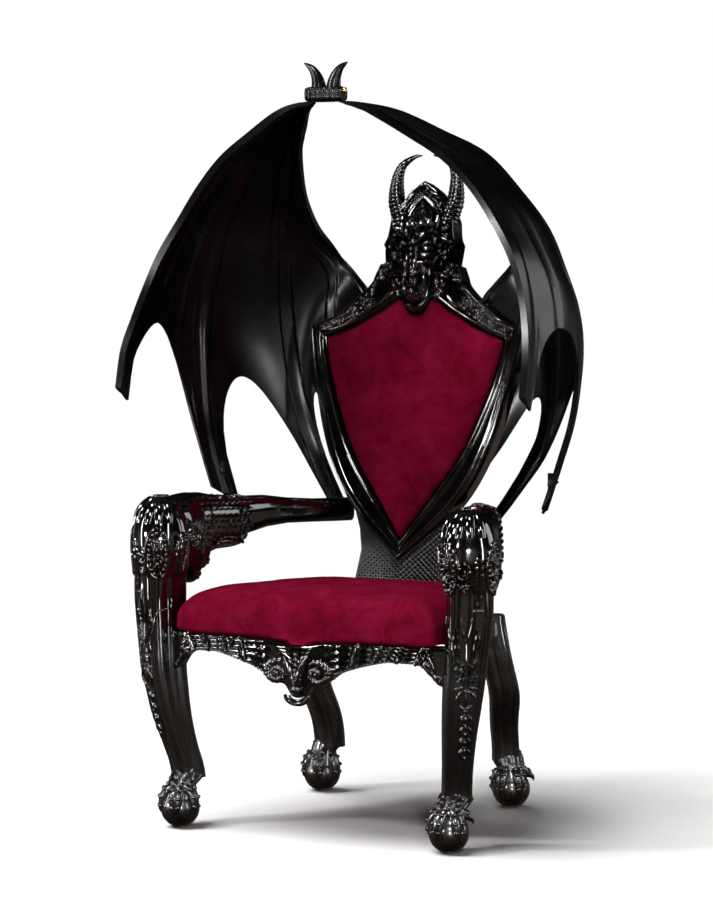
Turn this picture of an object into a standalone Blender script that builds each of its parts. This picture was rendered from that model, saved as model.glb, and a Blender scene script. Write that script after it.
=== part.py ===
"""A carved throne with a canopy of two dragon wings, in metres, with +Z up and the sitter facing -Y.

The throne stands on four ball and claw feet. Each front leg carries an arm with a carved knuckle, and
the rear rail carries a scaled splat, on which the shield-shaped back stands. The wings are screwed to
the rear of the shield and bolted together above the sitter. The model's origin is on the floor, in the
middle of the footprint of the whole throne.
"""
import math

import bmesh
import bpy
import numpy as np
from mathutils import Vector

# Fits
CLEARANCE = 0.0003

# Front legs
LEG_SPREAD = 0.401
LEG_LINE_Y = -0.284
LEG_TOP_HALF = 0.056
ARM_UNDERSIDE = 0.549

# Rear legs
REAR_SPREAD = 0.238
REAR_LINE_Y = 0.203
REAR_TOP_HALF = 0.036

# Ball and claw feet
BALL_RADIUS = 0.052
FOOT_HEIGHT = 0.130
FOOT_FLAT_RADIUS = 0.020
TOE_HEIGHT = 0.013
TOE_HALF_ANGLE = math.radians(24)
FOOT_COLUMNS = 24
LEG_COLUMNS = 12
CARVING_TURN = math.radians(30)

# Seat frame
RAIL_TOP = 0.472
RAIL_THICKNESS = 0.034
SIDE_RAIL_DEPTH = 0.066
APRON_FRONT_Y = -0.352
APRON_BOW = 0.052
APRON_RELIEF = 0.006
APRON_COLUMNS = 39
APRON_ROWS = 7
HEAD_RELIEF = 0.026

# Cushion
CUSHION_FRONT_Y = -0.350
CUSHION_BOW = 0.024
CUSHION_HEIGHT = 0.110
CUSHION_REAR_GAP = 0.008
CUSHION_LEG_GAP = 0.004

# Arms
ARM_REAR_Y = 0.300
ARM_REAR_X = 0.162
ARM_COLUMNS = 16

# Back
RECLINE = math.radians(9.6)
BACK_FOOT_Y = 0.174
BACK_FOOT_Z = 0.560
SHIELD_TIP_RISE = 0.050
SHIELD_HALF_WIDTH = 0.287
SHIELD_HEIGHT = 0.577
CREST_HEIGHT = 0.364
SHIELD_THICKNESS = 0.055
MOULDING_WIDTH = 0.009
BEAD_RISE = 0.006
SIDE_BORDER = 0.041
TIP_BORDER = 0.0463
SHOULDER_BORDER = 0.0277
PAD_TIP_RISE = SHIELD_TIP_RISE + TIP_BORDER
PAD_HALF_WIDTH = SHIELD_HALF_WIDTH - SIDE_BORDER
PAD_HEIGHT = SHIELD_TIP_RISE + SHIELD_HEIGHT - SHOULDER_BORDER - PAD_TIP_RISE
PAD_PEAK = 0.100
POCKET_DEPTH = 0.014
PAD_EDGE_GAP = 0.0012
PAD_CROWN = 0.012

# Splat
SPLAT_THICKNESS = 0.026
SPLAT_SETBACK = 0.012
SPLAT_FOOT_HALF = 0.124
SPLAT_WAIST_HALF = 0.106
SPLAT_TOP_HALF = 0.132
SCALE_ROWS = 8
SCALES_PER_SPAN = 2
SCALE_RELIEF = 0.003

# Dragon head and horns
HEAD_SETBACK = 0.012
HORN_RADIUS = 0.023
HORN_RINGS = 14
ROSETTE_RADIUS = 0.017
ROSETTE_RISE = 0.009

# Wings
WEB_THICKNESS = 0.008
BONE_THICKNESS = 0.017
BONE_TAPER = 0.55
BONE_SWELL_SHARE = 0.2
WING_ROWS = 12
WING_BULGE = 0.030
BLOCK_LENGTH = 0.047
BLOCK_DEPTH = 0.046
BLOCK_HEIGHT = 0.038
BLOCK_RISE = 0.034
CLAW_RADIUS = 0.0145
CLAW_HEIGHT = 0.054

# Wing bolt
BOLT_RADIUS = 0.004
BOLT_HEAD_RADIUS = 0.008
BOLT_HEAD_THICKNESS = 0.006
BOLT_BELOW_BLOCK_TOP = 0.012

# Free forms: outlines as shares of the sizes above, side by side from the tip to the crest.
SHIELD_SIDE = ((0, 0), (0.125, 0.056), (0.362, 0.162), (0.564, 0.286), (0.704, 0.415), (0.801, 0.543),
               (0.871, 0.673), (0.951, 0.847), (1, 1))
CREST_SIDE = ((0.780, 0.064), (0.596, 0.175), (0.439, 0.292), (0.401, 0.357), (0.362, 0.426),
              (0.286, 0.437), (0.258, 0.490), (0.279, 0.546), (0.341, 0.571), (0.310, 0.625),
              (0.293, 0.730), (0.250, 0.799), (0.185, 0.858), (0.122, 0.930), (0, 1))
PAD_SIDE = ((0, 0), (0.098, 0.065), (0.285, 0.194), (0.496, 0.339), (0.667, 0.484), (0.793, 0.633),
            (0.898, 0.780), (0.980, 0.929), (1, 1))
PAD_TOP = ((0.72, 0.273), (0.419, 0.667), (0.215, 1), (0.150, 1), (0.122, 0.848), (0.073, 0.677),
           (0, 0.626))
# Apron's lower edge: distance from the middle as a share of its half length, and depth below the rail's
# top.
APRON_EDGE = ((0, 0.150), (0.055, 0.146), (0.105, 0.108), (0.158, 0.106), (0.211, 0.094), (0.263, 0.076),
              (0.335, 0.064),
              (0.44, 0.050), (0.58, 0.036), (0.78, 0.038), (0.86, 0.056), (0.91, 0.088), (1, 0.098))
# Courses of the wing's bones on the +X side, from the wrist to the tip.
FRONT_BONE = ((0.034, -0.224, 1.710), (0.110, -0.218, 1.689), (0.210, -0.200, 1.631),
              (0.285, -0.186, 1.581), (0.348, -0.176, 1.517), (0.403, -0.174, 1.440),
              (0.453, -0.184, 1.358), (0.484, -0.200, 1.280), (0.505, -0.222, 1.205),
              (0.519, -0.250, 1.130), (0.5215, -0.272, 1.040))
SECOND_BONE = ((0.034, -0.215, 1.712), (0.133, -0.130, 1.688), (0.228, -0.050, 1.636),
               (0.307, 0.017, 1.584), (0.375, 0.062, 1.496), (0.431, 0.085, 1.413),
               (0.468, 0.102, 1.313), (0.494, 0.118, 1.219), (0.502, 0.121, 1.123),
               (0.490, 0.111, 0.981), (0.462, 0.098, 0.868), (0.424, 0.098, 0.757))
THIRD_BONE = ((0.034, -0.207, 1.712), (0.125, -0.105, 1.686), (0.190, -0.010, 1.632),
              (0.280, 0.130, 1.512), (0.330, 0.205, 1.435), (0.360, 0.272, 1.300),
              (0.368, 0.308, 1.150), (0.352, 0.330, 1.000), (0.310, 0.337, 0.870),
              (0.262, 0.318, 0.785), (0.204, 0.300, 0.700))
ROOT_BONE = ((0.034, -0.199, 1.711), (0.101, -0.123, 1.688), (0.158, -0.040, 1.646),
             (0.232, 0.085, 1.560), (0.284, 0.190, 1.472), (0.296, 0.275, 1.392),
             (0.262, 0.345, 1.310))
INNER_EDGE = ((0.034, -0.190, 1.707), (0.078, -0.140, 1.687), (0.119, -0.080, 1.655),
              (0.152, -0.030, 1.628), (0.184, 0.025, 1.597), (0.228, 0.128, 1.525),
              (0.246, 0.192, 1.472), (0.251, 0.260, 1.415), (0.245, 0.330, 1.371),
              (0.226, 0.366, 1.330), (0.180, 0.366, 1.282))
# Where the two root lines run down the rear of the shield: x and height.
ROOT_BONE_DOWN = ((0.264, 1.190), (0.238, 1.040), (0.196, 0.890), (0.122, 0.750))
INNER_EDGE_DOWN = ((0.150, 1.240), (0.125, 1.150), (0.110, 1.020), (0.095, 0.880), (0.075, 0.755))
ROOT_STANDOFF = 0.0085
# The wrist block sits on the start of the bones.
BLOCK_TOP = SECOND_BONE[0][2] + BLOCK_RISE
BLOCK_Y = (FRONT_BONE[0][1] + INNER_EDGE[0][1]) / 2 + 0.001
# Columns across the wing: place between bones 0 to 4, and whether it lies on a bone.
WING_COLUMNS = ((0, 1), (0.11, 1), (0.16, 0), (0.34, 0), (0.54, 0), (0.73, 0), (0.88, 0), (0.95, 1),
                (1.05, 1), (1.12, 0), (1.32, 0), (1.54, 0), (1.74, 0), (1.87, 1), (2.0, 0), (2.12, 1),
                (2.24, 0), (2.48, 0), (2.74, 0), (2.95, 1), (3.1, 1), (3.5, 0), (4, 1))
SCALLOPS = (0.27, 0.265, 0.24)
SCALLOP_SQUARENESS = (0.36, 0.44, 0.55)
BARB = ((0.424, 0.098, 0.772), (0.462, 0.086, 0.822), (0.452, 0.092, 0.842))


def clear_scene():
    for item in list(bpy.data.objects):
        bpy.data.objects.remove(item, do_unlink=True)


def new_collection(name):
    collection = bpy.data.collections.new(name)
    bpy.context.scene.collection.children.link(collection)
    return collection


def new_material(name, colour, roughness, metallic=0.0):
    material = bpy.data.materials.new(name)
    material.use_nodes = True
    shader = material.node_tree.nodes["Principled BSDF"]
    shader.inputs["Base Color"].default_value = (*colour, 1)
    shader.inputs["Roughness"].default_value = roughness
    shader.inputs["Metallic"].default_value = metallic
    return material


def add_object(name, verts, faces, material, collection, parent=None):
    """A mesh object from points and faces, with its faces turned outwards."""
    mesh = bpy.data.meshes.new(name)
    work = bmesh.new()
    points = [work.verts.new(tuple(p)) for p in verts]
    for face in faces:
        work.faces.new([points[i] for i in face])
    bmesh.ops.recalc_face_normals(work, faces=work.faces)
    work.to_mesh(mesh)
    work.free()
    if material:
        mesh.materials.append(material)
    mesh.shade_smooth()
    mesh.set_sharp_from_angle(angle=math.radians(40))
    item = bpy.data.objects.new(name, mesh)
    collection.objects.link(item)
    item.parent = parent
    return item


def as_cutter(item):
    item.hide_render = True
    item.display_type = "WIRE"
    return item


def combine(item, other, operation):
    """Adds an exact Boolean of item with the other object, which stays as a guide."""
    step = item.modifiers.new(operation.title(), "BOOLEAN")
    step.operation = operation
    step.solver = "EXACT"
    step.object = as_cutter(other)


def smooth_course(points, count):
    """Evenly spaced points along a smooth curve through the given ones."""
    knots = np.asarray(points, float)
    ahead = np.vstack([2 * knots[0] - knots[1], knots, 2 * knots[-1] - knots[-2]])
    dense = []
    for i in range(1, len(ahead) - 2):
        a, b, c, d = ahead[i - 1:i + 3]
        for t in np.linspace(0, 1, 12, endpoint=False):
            dense.append(0.5 * (2 * b + (c - a) * t + (2 * a - 5 * b + 4 * c - d) * t ** 2
                                + (3 * b - a - 3 * c + d) * t ** 3))
    dense.append(knots[-1])
    dense = np.array(dense)
    run = np.concatenate([[0], np.cumsum(np.linalg.norm(np.diff(dense, axis=0), axis=1))])
    places = np.linspace(0, run[-1], count)
    return np.stack([np.interp(places, run, dense[:, k]) for k in range(3)], axis=1)


def ring_solid(rings):
    """Points and faces of a closed solid through rings, with a fan over each end ring."""
    verts = [point for ring in rings for point in ring]
    starts = np.concatenate([[0], np.cumsum([len(ring) for ring in rings])])
    faces = []
    for k in range(len(rings) - 1):
        low, high = len(rings[k]), len(rings[k + 1])
        for i in range(high):
            here, after = starts[k + 1] + i, starts[k + 1] + (i + 1) % high
            if low == high:
                faces.append((starts[k] + i, starts[k] + (i + 1) % low, after, here))
            else:
                first, middle, last = (starts[k] + (2 * i + n) % low for n in range(3))
                faces += [(first, middle, here), (middle, after, here), (middle, last, after)]
    for k in (0, len(rings) - 1):
        centre = len(verts)
        verts.append(np.mean(rings[k], axis=0))
        size = len(rings[k])
        faces += [(starts[k] + i, starts[k] + (i + 1) % size, centre) for i in range(size)]
    return verts, faces


def plate_solid(front, back):
    """Points and faces of a closed solid between a front grid and a back grid of points."""
    rows, columns = front.shape[:2]
    back_rows = back.shape[0]
    verts = list(front.reshape(-1, 3)) + list(back.reshape(-1, 3))
    offset = rows * columns

    def at_front(i, j):
        return i * columns + j

    def at_back(i, j):
        return offset + i * columns + j

    faces = []
    for at, count in ((at_front, rows), (at_back, back_rows)):
        faces += [(at(i, j), at(i, j + 1), at(i + 1, j + 1), at(i + 1, j))
                  for i in range(count - 1) for j in range(columns - 1)]
    for i, k in ((0, 0), (rows - 1, back_rows - 1)):
        faces += [(at_front(i, j), at_front(i, j + 1), at_back(k, j + 1), at_back(k, j))
                  for j in range(columns - 1)]
    for j in (0, columns - 1):
        if rows == back_rows:
            faces += [(at_front(i, j), at_front(i + 1, j), at_back(i + 1, j), at_back(i, j))
                      for i in range(rows - 1)]
        else:
            faces.append([at_front(i, j) for i in range(rows)]
                         + [at_back(k, j) for k in reversed(range(back_rows))])
    return verts, faces


def flipped(points, side):
    """The points on the +X side, or their mirror image for side -1."""
    return np.asarray(points, float) * (side, 1, 1)


def section_radius(angles, half_x, half_y, power=2.8):
    """Distance from the centre to the edge of a rounded rectangle, at each angle."""
    return (np.abs(np.cos(angles) / half_x) ** power
            + np.abs(np.sin(angles) / half_y) ** power) ** (-1 / power)


def turned_away(angles, centre):
    """Angle of each direction from the centre direction, between 0 and pi."""
    return np.abs((angles - centre + math.pi) % (2 * math.pi) - math.pi)


def foot_rings(ball, ankle, facing, gap):
    """Rings of a ball held in three front toes and one rear toe, from the floor to the ankle."""
    heights = np.array([0, 0.06, 0.22, 0.35, 0.48, 0.62, 0.75, 0.88, 1]) * FOOT_HEIGHT
    reach = np.array([FOOT_FLAT_RADIUS / BALL_RADIUS, 0.71, 0.93, 1, 1, 0.94, 0.86, 0.74,
                      0.64]) * BALL_RADIUS
    toe = np.array([0, 0.3, 0.7, 0.8, 1.0, 0.8, 1.0, 0.8, 0.1]) * TOE_HEIGHT
    angles = facing + np.arange(FOOT_COLUMNS) * 2 * math.pi / FOOT_COLUMNS
    toes = [facing + math.radians(turn) for turn in (-60, 0, 60, 180)]
    lobe = np.zeros(FOOT_COLUMNS)
    for direction in toes:
        away = turned_away(angles, direction)
        lobe = np.maximum(lobe, np.clip(1 - away / TOE_HALF_ANGLE, 0, 1))
    rings = []
    for height, radius, bump in zip(heights, reach, toe):
        blend = np.clip((height / FOOT_HEIGHT - 0.45) / 0.55, 0, 1)
        centre = (1 - blend) * np.array(ball) + blend * np.array(ankle)
        out = radius + bump * lobe + gap
        rings.append(np.stack([centre[0] + out * np.cos(angles), centre[1] + out * np.sin(angles),
                               np.full(FOOT_COLUMNS, height)], axis=1))
    return rings


def leg_solid(stations, ball, ankle, gap=0.0):
    """A cabriole leg on its foot. A station is height, x, y, half width and height of the carving."""
    facing = -math.pi / 2 + CARVING_TURN
    rings = foot_rings(ball, ankle, facing, gap)
    angles = facing + np.arange(LEG_COLUMNS) * 2 * math.pi / LEG_COLUMNS
    crest = np.clip(1 - turned_away(angles, facing) / math.radians(55), 0, 1)
    for height, x, y, half, carving in stations:
        out = section_radius(angles, half, half) + carving * crest + gap
        rings.append(np.stack([x + out * np.cos(angles), y + out * np.sin(angles),
                               np.full(LEG_COLUMNS, height)], axis=1))
    return rings


def front_leg_rings(gap=0.0):
    """Leaf at the knee, ring below it and husks down to the ankle, on a tapering cabriole leg."""
    top = ARM_UNDERSIDE - CLEARANCE
    shares = (0.27, 0.31, 0.37, 0.43, 0.47, 0.51, 0.545, 0.60, 0.635, 0.68, 0.73, 0.785, 0.84, 0.92, 1)
    carving = (0, 0.001, 0.006, 0.008, 0.003, 0.009, 0.004, 0.006, 0.015, 0.015, 0.007, 0.012, 0.016,
               0.008, 0)
    stations = []
    for share, relief in zip(shares, carving):
        height = share * top
        x = np.interp(share, (0.24, 0.37, 0.51, 0.69, 0.86, 1), (-0.051, -0.038, -0.026, -0.012, -0.005, 0))
        y = np.interp(share, (0.24, 0.37, 0.51, 0.69, 1), (0.044, 0.020, 0.002, -0.008, 0))
        half = np.interp(share, (0.24, 0.31, 0.37, 0.49, 0.66, 0.86, 1),
                         (0.036, 0.036, 0.037, 0.041, 0.049, 0.053, LEG_TOP_HALF))
        stations.append((height, LEG_SPREAD + x, LEG_LINE_Y + y, half, relief))
    ball = (LEG_SPREAD - 0.051, LEG_LINE_Y + 0.001)
    ankle = (LEG_SPREAD - 0.051, LEG_LINE_Y + 0.044)
    return leg_solid(stations, ball, ankle, gap)


def rear_leg_rings(gap=0.0):
    """A plain cabriole leg that bows out and back, down to its ball and claw foot."""
    shares = (0.32, 0.38, 0.46, 0.54, 0.63, 0.72, 0.82, 0.92, 1)
    top = RAIL_TOP + 0.012
    stations = []
    for share in shares:
        x = np.interp(share, (0.3, 0.42, 0.6, 0.8, 1), (0.004, 0.006, 0.026, 0.012, 0))
        y = np.interp(share, (0.3, 0.42, 0.6, 0.8, 1), (0.092, 0.074, 0.034, 0.008, 0))
        half = np.interp(share, (0.3, 0.4, 0.6, 0.8, 1), (0.034, 0.036, 0.040, 0.040, REAR_TOP_HALF))
        stations.append((share * top, REAR_SPREAD + x, REAR_LINE_Y + y, half, 0.0))
    ball = (REAR_SPREAD + 0.022, REAR_LINE_Y + 0.084)
    ankle = (REAR_SPREAD + 0.008, REAR_LINE_Y + 0.094)
    return leg_solid(stations, ball, ankle, gap)


def add_legs(material, collection):
    for label, side in (("right", 1), ("left", -1)):
        for place, rings in (("front_leg", front_leg_rings()), ("rear_leg", rear_leg_rings())):
            verts, faces = ring_solid([flipped(ring, side) for ring in rings])
            add_object(f"{place}_{label}", verts, faces, material, collection)


def leg_cutters(rings_of, cutters):
    """Both legs of a pair with the clearance added, for cutting what meets them."""
    made = []
    for label, side in (("right", 1), ("left", -1)):
        rings = [flipped(ring, side) for ring in rings_of(CLEARANCE)]
        verts, faces = ring_solid(rings)
        made.append(add_object(f"{rings_of.__name__}_space_{label}", verts, faces, None, cutters))
    return made


def apron_point(share, half_length):
    """x and front y of the bowed apron, for a share of its half length."""
    x = share * half_length
    return x, APRON_FRONT_Y + APRON_BOW * share ** 2


def apron_grids(half_length):
    """Front and back grids of the apron: feathers spread from a horned head in the middle."""
    columns = np.linspace(-1, 1, APRON_COLUMNS)
    rows = np.linspace(0, 1, APRON_ROWS)
    edge = np.array(APRON_EDGE)
    front = np.zeros((len(rows), len(columns), 3))
    back = np.zeros((2, len(columns), 3))
    for j, share in enumerate(columns):
        x, y = apron_point(share, half_length)
        depth = np.interp(abs(share), edge[:, 0], edge[:, 1])
        for i, row in enumerate(rows):
            z = RAIL_TOP - depth * (1 - row)
            reach = math.hypot(x, z - RAIL_TOP + 0.085)
            feather = APRON_RELIEF * (0.5 + 0.5 * math.cos(reach * 2 * math.pi / 0.045))
            head = HEAD_RELIEF * math.exp(-(x / 0.030) ** 2 - ((z - RAIL_TOP + 0.105) / 0.050) ** 2)
            brow = 0.8 * HEAD_RELIEF * math.exp(-((abs(x) - 0.060) / 0.026) ** 2
                                                - ((z - RAIL_TOP + 0.085) / 0.026) ** 2)
            front[i, j] = (x, y - feather * (0 < row < 1) - max(head, brow), z)
        for i, z in enumerate((RAIL_TOP - depth, RAIL_TOP)):
            back[i, j] = (x, y + RAIL_THICKNESS, z)
    return front, back


def side_rail_grids(side):
    """A plain rail with a cyma lower edge, from inside the front leg to inside the rear leg."""
    start = np.array((LEG_SPREAD - 0.020, LEG_LINE_Y))
    end = np.array((REAR_SPREAD + 0.004, REAR_LINE_Y))
    along = (end - start) / np.linalg.norm(end - start)
    inward = np.array((along[1], -along[0])) * (-1 if along[1] > 0 else 1)
    columns = np.linspace(0, 1, 15)
    front = np.zeros((3, len(columns), 3))
    back = np.zeros((3, len(columns), 3))
    for j, share in enumerate(columns):
        foot = start + (end - start) * share
        depth = SIDE_RAIL_DEPTH * (0.78 + 0.22 * math.cos(share * 2 * math.pi))
        for i, row in enumerate((0, 0.5, 1)):
            z = RAIL_TOP - depth * (1 - row)
            bead = 0.004 * math.sin(math.pi * row)
            front[i, j] = (*(foot - inward * (RAIL_THICKNESS / 2 + bead)), z)
            back[i, j] = (*(foot + inward * RAIL_THICKNESS / 2), z)
    return flipped(front, side), flipped(back, side)


def add_seat_frame(material, collection, cutters):
    front_spaces = leg_cutters(front_leg_rings, cutters)
    rear_spaces = leg_cutters(rear_leg_rings, cutters)
    verts, faces = plate_solid(*apron_grids(LEG_SPREAD - 0.030))
    apron = add_object("front_apron", verts, faces, material, collection)
    for space in front_spaces:
        combine(apron, space, "DIFFERENCE")
    for index, (label, side) in enumerate((("right", 1), ("left", -1))):
        verts, faces = plate_solid(*side_rail_grids(side))
        rail = add_object(f"side_rail_{label}", verts, faces, material, collection)
        combine(rail, front_spaces[index], "DIFFERENCE")
        combine(rail, rear_spaces[index], "DIFFERENCE")
    size = (2 * REAR_SPREAD, RAIL_THICKNESS, SIDE_RAIL_DEPTH)
    rail = add_box("rear_rail", size, (0, REAR_LINE_Y, RAIL_TOP - SIDE_RAIL_DEPTH / 2), material, collection)
    for space in rear_spaces:
        combine(rail, space, "DIFFERENCE")


def add_box(name, size, centre, material, collection, bevel=0.0):
    """A box of a size about its centre, with its edges rounded where a bevel is given."""
    bpy.ops.mesh.primitive_cube_add(size=1, location=centre)
    box = bpy.context.active_object
    box.name = box.data.name = name
    box.scale = size
    bpy.ops.object.transform_apply(location=False, rotation=False, scale=True)
    if material:
        box.data.materials.append(material)
    for home in list(box.users_collection):
        home.objects.unlink(box)
    collection.objects.link(box)
    if bevel:
        edge = box.modifiers.new("Edge", "BEVEL")
        edge.width = bevel
        edge.segments = 2
    return box


def add_rod(name, radius, length, centre, material, collection, sides=16):
    """A round or many-sided rod along X."""
    bpy.ops.mesh.primitive_cylinder_add(vertices=sides, radius=radius, depth=length, location=centre,
                                        rotation=(0, math.pi / 2, 0))
    rod = bpy.context.active_object
    rod.name = rod.data.name = name
    if material:
        rod.data.materials.append(material)
    for home in list(rod.users_collection):
        home.objects.unlink(rod)
    collection.objects.link(rod)
    return rod


def arm_rings(side):
    """Sections along the arm from its front knuckle back to the shield, where it is cut to fit."""
    seat = ARM_UNDERSIDE
    # Place along the course, half width, lowest and highest point above the underside, knuckle height.
    stations = ((0.00, 0.036, 0.030, 0.150, 0), (0.025, 0.054, -0.03, 0.184, 0.003),
                (0.06, 0.061, -0.03, 0.205, 0.005), (0.11, 0.066, -0.03, 0.222, 0.001),
                (0.16, 0.064, -0.03, 0.234, 0.005), (0.20, 0.058, -0.03, 0.240, 0.001),
                (0.24, 0.056, 0.016, 0.240, 0.005), (0.28, 0.050, 0.044, 0.238, 0.001),
                (0.32, 0.046, 0.048, 0.234, 0.004), (0.345, 0.042, 0.094, 0.230, 0.001),
                (0.42, 0.040, 0.098, 0.224, 0.003), (0.47, 0.034, 0.106, 0.224, 0.001),
                (0.58, 0.029, 0.142, 0.224, 0), (0.68, 0.025, 0.147, 0.210, 0),
                (0.80, 0.024, 0.145, 0.203, 0), (0.90, 0.024, 0.143, 0.201, 0), (1.00, 0.024, 0.142, 0.200, 0))
    course = smooth_course(((LEG_SPREAD - 0.004, LEG_LINE_Y - 0.066, 0), (LEG_SPREAD - 0.004, LEG_LINE_Y, 0),
                            (LEG_SPREAD - 0.018, LEG_LINE_Y + 0.090, 0),
                            (LEG_SPREAD - 0.050, LEG_LINE_Y + 0.180, 0),
                            (LEG_SPREAD - 0.112, LEG_LINE_Y + 0.330, 0),
                            (LEG_SPREAD - 0.160, LEG_LINE_Y + 0.434, 0), (ARM_REAR_X, ARM_REAR_Y, 0)), 101)
    angles = np.arange(ARM_COLUMNS) * 2 * math.pi / ARM_COLUMNS
    rings = []
    for share, half, low, high, knuckle in stations:
        place = share * 100
        centre = np.array([np.interp(place, range(101), course[:, k]) for k in range(2)])
        ahead = course[min(int(place) + 1, 100)] - course[max(int(place) - 1, 0)]
        across = np.array((-ahead[1], ahead[0])) / np.linalg.norm(ahead[:2])
        tall = (high - low) / 2
        square = np.where((np.sin(angles) < 0) & (low < 0), 5.0, 2.6)
        out = section_radius(angles, half, tall, square)
        carved = knuckle * np.where(np.arange(ARM_COLUMNS) % 2 == 0, 1, -0.3)
        out = out + carved
        height = np.maximum(seat + (high + low) / 2 + out * np.sin(angles), seat)
        flat = centre + np.outer(out * np.cos(angles), across)
        rings.append(flipped(np.column_stack([flat, height]), side))
    return rings


def back_point(x, rise, forward=0.0):
    """A point on the front plane of the reclined back, its rise measured along the slope."""
    return np.stack(np.broadcast_arrays(
        x,
        BACK_FOOT_Y + np.sin(RECLINE) * np.asarray(rise) - np.cos(RECLINE) * np.asarray(forward),
        BACK_FOOT_Z + np.cos(RECLINE) * np.asarray(rise) + np.sin(RECLINE) * np.asarray(forward)), axis=-1)


def shield_half():
    """Half outline of the shield and its crest, from the tip up to the peak: x and rise."""
    side = np.array(SHIELD_SIDE) * (SHIELD_HALF_WIDTH, SHIELD_HEIGHT) + (0, SHIELD_TIP_RISE)
    crest = np.array(CREST_SIDE) * (SHIELD_HALF_WIDTH, CREST_HEIGHT) + (0, SHIELD_TIP_RISE + SHIELD_HEIGHT)
    return side, crest


def pad_half():
    """Half outline of the pocket for the pad, from its tip up to its notch: x and rise."""
    side = np.array(PAD_SIDE) * (PAD_HALF_WIDTH, PAD_HEIGHT) + (0, PAD_TIP_RISE)
    top = np.array(PAD_TOP) * (PAD_HALF_WIDTH, PAD_PEAK) + (0, PAD_TIP_RISE + PAD_HEIGHT)
    return side, top


def shares_along(points):
    run = np.concatenate([[0], np.cumsum(np.linalg.norm(np.diff(points, axis=0), axis=1))])
    return run / run[-1]


def at_shares(points, shares):
    own = shares_along(points)
    return np.stack([np.interp(shares, own, points[:, k]) for k in range(2)], axis=1)


def both_sides(half):
    """A closed outline from a half that runs from the tip to the peak."""
    return np.vstack([half, (half * (-1, 1))[1:-1][::-1]])


def matched_outlines():
    """The shield's outline and the pocket's outline with as many points, in the same order."""
    side, crest = shield_half()
    pad_side, pad_top = pad_half()
    crest_line = np.vstack([side[-1], crest])
    inner_side = at_shares(pad_side, shares_along(side))
    inner_top = at_shares(np.vstack([pad_side[-1], pad_top]), shares_along(crest_line))
    outer = both_sides(np.vstack([side, crest]))
    inner = both_sides(np.vstack([inner_side, inner_top[1:]]))
    return outer, inner


def shrink(outline, amount):
    """The outline moved inwards along its own normals by an amount, or outwards if negative."""
    ahead = np.roll(outline, -1, axis=0) - np.roll(outline, 1, axis=0)
    normal = np.stack([-ahead[:, 1], ahead[:, 0]], axis=1)
    return outline + normal / np.linalg.norm(normal, axis=1, keepdims=True) * amount


def frame_rings():
    """Rings of the shield's section, from the rear edge over two beads to the pocket's floor."""
    outer, inner = matched_outlines()
    width = np.linalg.norm(outer - inner, axis=1, keepdims=True)

    def between(from_outer=None, from_inner=None):
        if from_outer is not None:
            return outer + (inner - outer) * np.minimum(from_outer / width, 0.42)
        return inner + (outer - inner) * np.minimum(from_inner / width, 0.42)

    profile = ((outer, -SHIELD_THICKNESS), (outer, -BEAD_RISE), (between(0.5 * MOULDING_WIDTH), BEAD_RISE),
               (between(1.5 * MOULDING_WIDTH), -0.5 * BEAD_RISE),
               (between(None, 1.3 * MOULDING_WIDTH), 0), (between(None, 0.5 * MOULDING_WIDTH), BEAD_RISE),
               (inner, 0), (inner, -POCKET_DEPTH))
    return [back_point(ring[:, 0], ring[:, 1], forward) for ring, forward in profile]


def shield_prism(extra, depth=0.2):
    """The shield's outline as a thick block, made larger by the extra, for cutting what meets it."""
    outer, _ = matched_outlines()
    ring = shrink(outer, -extra)
    return [back_point(ring[:, 0], ring[:, 1], forward) for forward in (-SHIELD_THICKNESS - extra, depth)]


def dragon_head_rings():
    """Sections down the head from the forehead to the chin that overhangs the pad."""
    # Share of the crest's height above the corner, half width, and rise in front of the shield.
    stations = ((0.80, 0.020, 0.010), (0.72, 0.044, 0.022), (0.62, 0.054, 0.034), (0.55, 0.058, 0.046),
                (0.48, 0.048, 0.050), (0.40, 0.036, 0.046), (0.32, 0.031, 0.048), (0.24, 0.029, 0.052),
                (0.19, 0.022, 0.044), (0.155, 0.012, 0.030))
    rings = []
    base = SHIELD_TIP_RISE + SHIELD_HEIGHT
    angles = np.linspace(0, 2 * math.pi, 10, endpoint=False)
    for share, half, rise in stations:
        ridge = 1 + 0.16 * np.cos(2 * angles - math.pi)
        x = half * np.cos(angles) * ridge
        forward = np.maximum(rise * np.sin(angles) * ridge, 0) - HEAD_SETBACK
        rings.append(back_point(x, np.full(10, base + share * CREST_HEIGHT), forward))
    return rings


def horn_rings(side):
    """A horn that bows out and curls in to its tip, with a ring for each swelling."""
    base = SHIELD_TIP_RISE + SHIELD_HEIGHT
    course = smooth_course(((0.058, 0.700, 0), (0.070, 0.795, 0), (0.079, 0.860, 0), (0.0815, 0.945, 0),
                            (0.079, 1.035, 0), (0.069, 1.105, 0), (0.052, 1.145, 0), (0.032, 1.172, 0),
                            (0.014, 1.178, 0)), HORN_RINGS)
    angles = np.linspace(0, 2 * math.pi, 8, endpoint=False)
    rings = []
    for i, (x, share, _) in enumerate(course):
        along = i / (len(course) - 1)
        swell = 1 + (0.07 if i % 2 else -0.05) * (along < 0.7)
        radius = HORN_RADIUS * (1 - along) ** 0.55 * swell + 0.0008
        ahead = course[min(i + 1, HORN_RINGS - 1)] - course[max(i - 1, 0)]
        direction = np.array((ahead[0], ahead[1] * CREST_HEIGHT))
        direction /= np.linalg.norm(direction)
        across = np.array((direction[1], -direction[0]))
        flat = np.array((x, base + share * CREST_HEIGHT)) + np.outer(radius * np.cos(angles), across)
        forward = -0.020 + 0.012 * along + radius * np.sin(angles)
        rings.append(flipped(back_point(flat[:, 0], flat[:, 1], forward), side))
    return rings


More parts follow.
